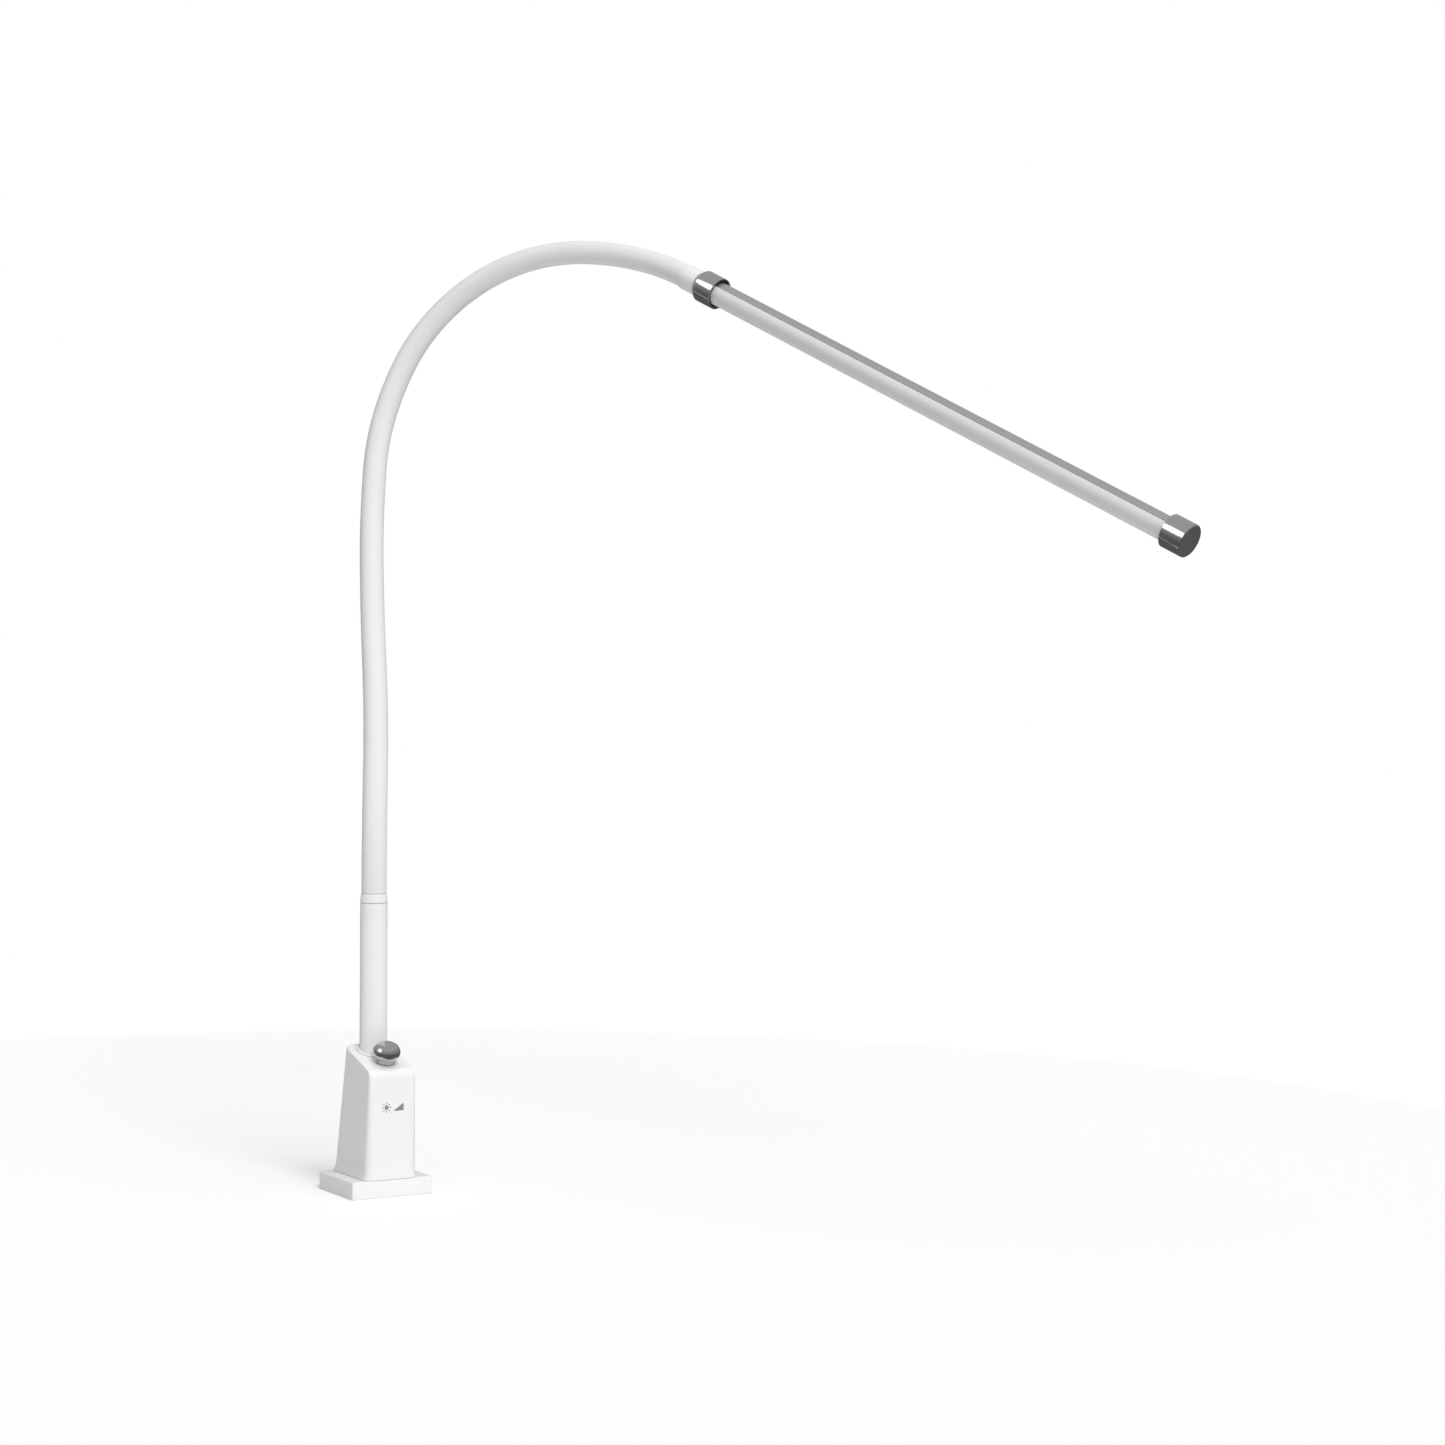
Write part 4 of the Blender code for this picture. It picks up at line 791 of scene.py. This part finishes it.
def pipe(arc, first, last, outer, inner, rows, sides, groove=0.0, pitch=1.0):
    """Point = middle line + r (cos a X + sin a Y). The outer radius loses a helical groove,
    groove (1/2 - 1/2 cos(2 pi (s / pitch) - a)), s being the distance along the arc."""
    shares = np.linspace(first, last, rows)
    origins, axes = on_arc(arc, shares)
    angle = around(sides)
    wheel = np.stack([np.cos(angle), np.sin(angle)], axis=1) @ axes[:, :2]
    phase = math.tau * shares[:, None] * arc["length"] / pitch - angle[None]
    cut = groove * (0.5 - 0.5 * np.cos(phase)) ** 3
    outside = origins[:, None] + wheel * (outer - cut)[..., None]
    if inner is None:
        return skin(outside)
    return skin(np.concatenate([outside, origins[::-1, None] + wheel[::-1] * inner]), ring=True)


def bending(obj, number):
    """Bake a finished piece's placement into its mesh; the bodies and the ends on its arc are passed on but not
    used.
    """
    ends = on_arc(ARCS[number - 1], (HOLD, 1 - HOLD))[0]
    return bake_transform(obj, LINKS[number - 1], LINKS[number], start=tuple(ends[0]), end=tuple(ends[1]))


# %% Hose and conduit, one length an arc
CONDUIT_PITCH = 0.0032
CONDUIT_BORE = 0.0045
LEAD_RADIUS = 0.0025
CORE_NODES = ["core_root"] + [f"core_{n}" for n in range(1, len(ARCS))] + ["core_tip"]
core_foot = (span("core_root")[0][2] - ARM_BASE[2]) / ARCS[0]["length"]
core_tip = 0.012 / ARCS[-1]["length"]
for n, arc in enumerate(ARCS, 1):
    last_arc = n == len(ARCS)
    hose_skin = pipe(arc, 0, 1, HOSE_RADIUS, HOSE_BORE, 64, 64)
    bending(piece(f"hose_{n}", [hose_skin], hose, None, [f"sleeve_{n}"]), n)
    start = core_foot if n == 1 else 0
    stop = 1 + core_tip if last_arc else 1
    rows = int((stop - start) * arc["length"] / CONDUIT_PITCH * 6)
    strip = pipe(arc, start, stop, CORE_RADIUS, CONDUIT_BORE, rows, 24, 0.0009, CONDUIT_PITCH)
    stands_for = [CORE_NODES[n - 1]] + [CORE_NODES[n]] * last_arc
    bending(piece(f"conduit_{n}", [strip], steel, None, stands_for), n)
    lead_skin = pipe(arc, 0, 1, LEAD_RADIUS, None, 40, 16)
    bending(piece(f"lead_{n}", [lead_skin], sheath, None), n)
print("hose, conduit and lead in", len(ARCS), "lengths of about",
      round(float(np.mean([arc["length"] for arc in ARCS])) * 1000), "mm")

# %% [markdown]
# ## The lead's two ends
#
# From its terminal the lead passes through the pole's window, turns up on a small arc and runs
# to the arm. At the head it crosses the swivel, where it twists as the head turns, and its last
# stretch runs straight along the head.

# %% Lead in the pole and in the head
LEAD_BEND = 0.009


def swept(points, across, radius, sides=16):
    """Rings square to a path that lies in the plane square to `across`."""
    step = np.gradient(points, axis=0)
    step /= np.linalg.norm(step, axis=1)[:, None]
    third = np.cross(step, across)
    angle = around(sides)[None, :, None]
    return skin(points[:, None] + radius * (np.cos(angle) * across + np.sin(angle) * third[:, None]))


terminal_low, terminal_high = span("lead_terminal")
start_z = (terminal_low[2] + terminal_high[2]) / 2
turn = np.linspace(0, math.pi / 2, 12)
bend_y = POLE_Y - LEAD_BEND * (1 - np.sin(turn))
bend_z = start_z + LEAD_BEND * (1 - np.cos(turn))
rise = np.linspace(bend_z[-1], ARM_BASE[2], 24)[1:]
path_y = np.concatenate([[terminal_high[1] + GAP], bend_y, np.full(len(rise), POLE_Y)])
path_z = np.concatenate([[start_z], bend_z, rise])
path = np.column_stack([np.zeros(len(path_y)), path_y, path_z])
piece("lead_foot", [swept(path, UPRIGHT[1][0], LEAD_RADIUS)], sheath, "base", ["arm_lead"])
LEAD_END = stations("led_board")[0] - GAP
path = HEAD[0] + np.linspace(0, LEAD_END, 48)[:, None] * HEAD_AXIS
lead_head = piece("lead_head", [swept(path, HEAD[1][0], LEAD_RADIUS)], sheath)
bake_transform(lead_head)

# %% [markdown]
# ## Neck and chrome collar
#
# A white neck piece closes the hose and carries the swivel. The chrome collar turns on it: its
# edge towards the neck is chamfered, and its far end is recessed round the light tube, with a
# black seal at the bottom of the recess that reads as a dark ring.

# %% Neck piece and thrust washer
neck_low, neck_high = stations("neck_ferrule")
NECK_RADIUS = HOSE_RADIUS + 0.00085
STUB_HOLE = 0.0063
CORE_STOP = 0.0164
neck_line = [(BORE, neck_low), (NECK_RADIUS, neck_low), (NECK_RADIUS, neck_high), (STUB_HOLE, neck_high),
             (STUB_HOLE, CORE_STOP), (BORE, CORE_STOP)]
neck_radii = [0.0002, 0.0007, 0.0006, 0.0002, 0.0001, 0.0001]
piece("neck_piece", [lathe(HEAD, neck_line, neck_radii, sides=96)], paint, "neck", ["neck_ferrule"])
WASHER_RADIUS = 0.0098
washer = band(STUB_HOLE, WASHER_RADIUS, *stations("swivel_washer"))
piece("thrust_washer", [lathe(HEAD, washer, 0.0002)], moulded, "neck", ["swivel_washer"])

# %% Chrome collar with its seal
TUBE_RADIUS = 0.0103
COLLAR_RADIUS = TUBE_RADIUS + 0.0037
collar_low, collar_high = stations("head_collar")
LIP = COLLAR_RADIUS - 0.0014
MOUTH = 0.0025
tube_low, tube_high = stations("diffuser")
mouth, web = collar_high - MOUTH, collar_low + 0.005
bore, stop, chamfer = TUBE_RADIUS + GAP, TUBE_RADIUS - 0.001, 0.0022
collar_line = [(STUB_HOLE, collar_low), (COLLAR_RADIUS - chamfer, collar_low),
               (COLLAR_RADIUS, collar_low + chamfer), (COLLAR_RADIUS, collar_high), (LIP, collar_high),
               (LIP, mouth), (bore, mouth), (bore, tube_low - GAP), (stop, tube_low - GAP),
               (stop, web), (STUB_HOLE, web)]
collar_radii = [0.0002, 0.0006, 0.0006, 0.0004, 0.0003, *[0.0001] * 5, 0.0002]
piece("collar", [lathe(HEAD, collar_line, collar_radii, sides=128)], chrome, "head", ["head_collar"])
seal_in, seal_out = TUBE_RADIUS + 0.0001, LIP - 0.0001
seal_line = [(seal_in, mouth + GAP), (seal_out, mouth + GAP), (seal_out, collar_high - 0.0012),
             (seal_in, collar_high - 0.0007)]
piece("seal", [lathe(HEAD, seal_line, 0.0002, sides=96)], rubber, "head", ["collar_seal"])

# %% [markdown]
# ## Light tube
#
# The light tube is two mouldings slid together: an aluminium back that carries the LED board,
# and an opal diffuser that makes up the rest of the circle. Both are one section pushed along
# the head. The back has a shallow groove beside each joint, which draws the dark line between
# metal and plastic.

# %% Sections pushed along the head
def circle(radius, first, last, count):
    """Points on a circle; angle 0 is the middle of the aluminium back."""
    angle = np.linspace(first, last, count)
    return np.column_stack([radius * np.sin(angle), radius * np.cos(angle)])


# %% Aluminium back and opal diffuser
BACK_HALF = math.radians(43)
BACK_WEB = 0.0012
DIFFUSER_WALL = 0.0016
web_low = TUBE_RADIUS * math.cos(BACK_HALF) - BACK_WEB
edge_angle = math.acos(web_low / TUBE_RADIUS)
rim = edge_angle + np.array([-0.055, -0.035, -0.02, 0.0])
depth = TUBE_RADIUS - np.array([0, 0.00035, 0.0001, 0.0004])
right = np.column_stack([depth * np.sin(rim), depth * np.cos(rim)])
left = right[::-1] * (-1, 1)
arc_points = circle(TUBE_RADIUS, -edge_angle + 0.075, edge_angle - 0.075, 45)
back_section = np.concatenate([left, arc_points, right])
along = np.linspace(tube_low, tube_high, 3)[:, None, None] * HEAD[1][2]
back_points = HEAD[0] + back_section @ HEAD[1][:2] + along
piece("tube_back", [skin(back_points)], aluminium, "head", ["head_back"])
opening = edge_angle + 0.012
opal = [circle(radius, opening, math.tau - opening, 61)
        for radius in (TUBE_RADIUS, TUBE_RADIUS - DIFFUSER_WALL)]
outer, inner = (arc @ HEAD[1][:2] for arc in opal)
low, high = (moved(HEAD, s)[0] for s in (tube_low, tube_high))
wall = np.stack([outer + low, outer + high, inner + high, inner + low], axis=1)
piece("opal_diffuser", [skin(wall)], frost, "head", ["diffuser"])

# %% [markdown]
# ## End cap
#
# The end cap is turned from bar and chromed: a straight wall with a fine bevel, and a face that
# dips very slightly towards its middle, so that it mirrors a different part of the room.

# %% End cap and its adapter ring
cap_low, cap_high = stations("end_cap")
CAP_RADIUS = TUBE_RADIUS + 0.0037
CAP_INNER = CAP_RADIUS - 0.0020
CAP_FACE = 0.0030
cap_line = [(0, cap_high - 0.0006), (CAP_RADIUS * 0.5, cap_high - 0.00045),
            (CAP_RADIUS - 0.0012, cap_high - 0.0001), (CAP_RADIUS - 0.0008, cap_high),
            (CAP_RADIUS, cap_high - 0.0008), (CAP_RADIUS, cap_low), (CAP_INNER, cap_low),
            (CAP_INNER, cap_high - CAP_FACE), (0, cap_high - CAP_FACE)]
cap_radii = [0, 0.006, 0.0002, 0.0002, 0.0003, 0.0003, 0.0003, 0.0002, 0]
piece("cap", [lathe(HEAD, cap_line, cap_radii, closed=False, sides=128)], chrome, "head", ["end_cap"])
adapter = band(TUBE_RADIUS + 0.0001, CAP_INNER - 0.0001, *stations("cap_adapter"))
piece("cap_ring", [lathe(HEAD, adapter, 0.0003, sides=96)], moulded, "head", ["cap_adapter"])

# %% [markdown]
# ## Dimmer knob
#
# The knob is a small chromed mushroom: a narrow foot, a skirt that swells out, and a domed
# crown. Fine coin-edge grooves round the widest part give the fingers something to hold; they
# are shallow, so they show only as a shimmer in the highlight.

# %% Knob, with grooves round its rim
DIAL = JOINTS["dimmer_turn"]
dial_y = np.array(DIAL["pos_m"][1])
KNOB = aimed((0, dial_y, roof(dial_y, 0)), DIAL["axis"], (1, 0, 0))
KNOB_RADIUS = 0.011
KNOB_HEIGHT = 0.0165
KNOB_FOOT = 0.0013
KNOB_GROOVES = 48
GROOVE_DEPTH = 0.00022
knob_top = KNOB_FOOT + KNOB_HEIGHT
knob_cavity = KNOB_FOOT + 0.0035
shaft_end = KNOB_FOOT + 0.0110


def coin_edge(r, h, angle):
    """Loses a shallow scallop round the widest part, fading out above and below it."""
    middle = KNOB_FOOT + KNOB_HEIGHT * 0.55
    fade = np.clip(1 - ((h - middle) / (KNOB_HEIGHT * 0.16)) ** 2, 0, 1)
    outer = np.clip((r / KNOB_RADIUS - 0.93) * 20, 0, 1)
    return r - GROOVE_DEPTH * fade * outer * (0.5 - 0.5 * np.cos(KNOB_GROOVES * angle))


knob_line = [(0, knob_top), (0.0042, knob_top - 0.0003), (0.0088, knob_top - 0.0022),
             (KNOB_RADIUS, knob_top - 0.0062), (KNOB_RADIUS - 0.0001, KNOB_FOOT + 0.0086),
             (KNOB_RADIUS - 0.0004, KNOB_FOOT + 0.0064), (0.0086, KNOB_FOOT + 0.0034),
             (0.0073, KNOB_FOOT + 0.0016), (0.0072, KNOB_FOOT), (0.0064, KNOB_FOOT), (0.0063, knob_cavity),
             (0.0033, knob_cavity), (0.0033, shaft_end), (0, shaft_end)]
knob_radii = [0, 0.008, 0.006, 0.005, 0.006, 0.005, 0.004, 0.002, 0.0004, *[0.0002] * 4, 0]
knob_skin = lathe(KNOB, knob_line, knob_radii, closed=False, sides=KNOB_GROOVES * 6, stretch=coin_edge)
piece("knob", [knob_skin], chrome, "knob", ["dimmer_knob"])

# %% [markdown]
# ## Screws and inlet
#
# The small hardware is turned as well. A hexagon socket is a round recess whose radius follows
# a hexagon: r = flat / cos(angle from the middle of the nearest side). The inlet at the back is
# a black bush with its pin, held by a nut inside.

# %% Socket screws
def hexagon(angle):
    """Radius at each angle of a hexagon whose flats lie 1 from its middle."""
    return 1 / np.cos((angle % (math.pi / 3)) - math.pi / 6)


def socket_screw(place, shank, length, head, head_height, flat, depth):
    """Cap screw: shank, head, and rows that shrink into a hexagonal socket."""
    line = [(0, -length), (shank, -length), (shank, 0), (head, 0), (head, head_height),
            (flat * 1.16, head_height), (flat * 1.02, head_height - 0.0001),
            (flat * 1.01, head_height - depth), (0, head_height - depth)]

    def with_socket(r, h, angle):
        recess = (r < flat * 1.15) & (h > head_height - depth - 0.0001)
        return np.where(recess, hexagon(angle) * r / 1.01, r * np.ones_like(angle))

    return lathe(place, line, 0.00012, closed=False, sides=72, stretch=with_socket)


LEAN = math.atan((FOOT_HALF[1] - BACK_TOP_Y) / (HOUSING_TOP - FOOT_HEIGHT))
BACKWARD = (0, math.cos(LEAN), math.sin(LEAN))


def on_back_wall(height):
    """Place on the middle of the leaning back wall, Z pointing out of it."""
    y = FOOT_HALF[1] - math.tan(LEAN) * (height - FOOT_HEIGHT)
    return aimed((0, y, height), BACKWARD, (1, 0, 0))


behind = moved(on_back_wall(FOOT_HEIGHT + 0.003), GAP)
below = aimed((0, POLE_Y, span("socket_screw")[0][2] + 0.003), (0, 0, -1), (1, 0, 0))
small = socket_screw(behind, 0.0015, 0.0053, 0.0027, 0.0016, 0.00125, 0.0011)
large = socket_screw(below, 0.003, 0.0149, 0.0055, 0.0030, 0.0025, 0.0018)
piece("back_screw", [small], steel, "base", ["housing_screw"])
piece("foot_screw", [large], steel, "base", ["socket_screw"])

# %% Low-voltage inlet
INLET = on_back_wall(FOOT_HEIGHT + 0.014)
inlet_line = [(0, -0.0075), (0.005, -0.0075), (0.005, GAP), (0.007, GAP), (0.007, 0.0016),
              (0.0032, 0.0016), (0.003, 0.0011), (0.003, -0.006), (0.001, -0.006), (0.001, -0.0002), (0, 0)]
inlet_radii = [0, 0.0003, 0.0001, 0.0003, 0.0005, 0.0003, 0.0002, 0.0002, 0.0001, 0.0005, 0]
piece("inlet", [lathe(INLET, inlet_line, inlet_radii, closed=False, sides=72)], moulded, "base",
      ["dc_inlet"])

# %% [markdown]
# ## Printed mark
#
# The front carries a small pad-printed mark. A generic brightness symbol is used: a sun, and a
# wedge that grows from dim to bright. Ink is a few hundredths of a millimetre thick, so the
# shapes are flat prisms laid on the leaning front wall.

# %% Brightness symbol
INK = 0.00006
SUN_X = -0.0055
MARK_HEIGHT = FOOT_HEIGHT + 0.058
ink = Finish("white_paint", (0.20, 0.205, 0.21), 0.5, name="grey_ink")
ink.bump(ink.noise(5000, 2.0), 0.000008)
ink.roughen(ink.noise(900, 3.0) * 0.2 + 0.4)
ink.tint(ink.noise(700, 3.0), (0.26, 0.265, 0.27))
front_slope = FRONT_LEAN / (front_top - HOUSING_BASE)
front_y = -FOOT_HALF[1] + front_slope * (MARK_HEIGHT - HOUSING_BASE)
MARK = aimed((0, front_y, MARK_HEIGHT), (0, -1, front_slope), (1, 0, 0))


def print_skin(outline, radius):
    """A flat prism from just inside the wall to the ink's surface."""
    line = rounded(outline, radius, steps=4)
    return skin(MARK[0] + lifted(np.stack([line, line]), (-0.0002, INK)) @ MARK[1])


def ray(angle):
    """One short bar of the sun, from 2.6 to 4 mm from its middle."""
    bar = np.array([(0.0026, -0.0004), (0.0040, -0.0004), (0.0040, 0.0004), (0.0026, 0.0004)])
    c, s = math.cos(angle), math.sin(angle)
    return bar @ np.array([(c, s), (-s, c)]) + (SUN_X, 0)


angle = around(24)
disc = np.column_stack([0.0018 * np.cos(angle) + SUN_X, 0.0018 * np.sin(angle)])
marks = [print_skin(disc, 0.00005)] + [print_skin(ray(a), 0.0002) for a in np.arange(8) * math.pi / 4]
marks.append(print_skin([(0.0002, -0.0030), (0.0094, -0.0030), (0.0094, 0.0030)], 0.0003))
piece("brightness_mark", marks, ink, "base")
print(len(made), "new pieces,", sum(count for _, count in made), "faces")

# %% [markdown]
# ## Studio
#
# A pale floor, a large soft key light high in front and a weaker one from above. Polished
# cylinders need one bright card to mirror, out on the left, and something dark beside it: the
# card is seen by mirrors only, and the surroundings that mirrors see run from a dim floor to
# a paler ceiling.

# %% Floor
def floor_disc(radius, rings=6, sides=96):
    """A flat disc: rings of points round the middle."""
    r = radius * np.linspace(1 / rings, 1, rings)[:, None]
    angle = around(sides)[None]
    flat = np.stack([r * np.cos(angle), r * np.sin(angle), np.zeros((rings, sides))], axis=-1)
    mesh = bpy.data.meshes.new("floor")
    index = np.arange(rings * sides).reshape(rings, sides)
    after = np.roll(index, -1, axis=1)
    quads = np.stack([index[:-1], after[:-1], after[1:], index[1:]], axis=-1)
    mesh.from_pydata(flat.reshape(-1, 3), [], quads.reshape(-1, 4).tolist() + [index[0].tolist()])
    return mesh


backdrop = Finish("backdrop", (0.97, 0.97, 0.97), 0.9)
backdrop.bump(backdrop.noise(40, 2.0), 0.0002)
floor = placed("floor", floor_disc(1.1))
floor.data.materials.append(backdrop.material)
floor.visible_glossy = False

# %% Lights
def soft_light(name, heading, climb, spread, strength):
    """A distant soft light; the spread is the width of its disc in the sky, in degrees."""
    data = bpy.data.lights.new(name, "SUN")
    data.angle = math.radians(spread)
    data.energy = strength
    light = placed(name, data)
    axes = aimed((0, 0, 0), direction(heading, climb), (0, 0, 1))[1]
    light.matrix_world = Matrix(axes.T).to_4x4()
    return light


soft_light("key", -96, 42, 26, 1.75).visible_glossy = False
soft_light("top", -60, 80, 40, 0.85).visible_glossy = False
soft_light("card", -178, 31, 30, 0.36).visible_diffuse = False

world = bpy.data.worlds.new("studio")
bpy.context.scene.world = world
studio = Nodes(world)


def surroundings(strength):
    """A plain white surrounding of one brightness."""
    values = {"Color": (1.0, 1.0, 1.0, 1.0), "Strength": strength}
    return studio.node("ShaderNodeBackground", {}, values)


def chosen(ray, usual, special):
    """The special surrounding for one kind of ray, the usual one for the rest."""
    values = {0: studio.node("ShaderNodeLightPath", output=ray), 1: usual, 2: special}
    return studio.node("ShaderNodeMixShader", {}, values)


height = studio.node("ShaderNodeTexCoord", output="Generated")
height = studio.node("ShaderNodeSeparateXYZ", {}, {0: height}, output="Z")
limits = {"Value": height, "From Min": -0.35, "From Max": 0.75, "To Min": 0.13, "To Max": 0.50}
shade = studio.node("ShaderNodeMapRange", {"interpolation_type": "SMOOTHSTEP"}, limits, "Result")
sky = chosen("Is Glossy Ray", surroundings(0.40), surroundings(shade))
sky = chosen("Is Camera Ray", sky, surroundings(1.0))
studio.feed(studio.tree.nodes["World Output"].inputs["Surface"], sky)
bpy.context.scene.view_settings.view_transform = "Standard"

# %% [markdown]
# ## Camera
#
# The camera stands low in front and to the left of the lamp, almost level, with a long lens,
# so that the upright pole stays upright and the arm reads as one sweep.

# %% Camera
CAMERA_PLACE = (-1.0160, -2.2163, 0.4192)
YAW, PITCH, ROLL_ANGLE = np.radians((31.18, 0.90, 0.40))
FOCAL_LENGTH = 74.74
SENSOR = 36.0
lens = bpy.data.cameras.new("camera")
lens.lens = FOCAL_LENGTH
lens.sensor_width = SENSOR
camera = placed("camera", lens)
turns = ((-YAW, "Z"), (math.pi / 2 - PITCH, "X"), (ROLL_ANGLE, "Z"))
yawed, tipped, rolled = (Matrix.Rotation(angle, 4, axis) for angle, axis in turns)
camera.matrix_world = Matrix.Translation(CAMERA_PLACE) @ yawed @ tipped @ rolled
bpy.context.scene.camera = camera
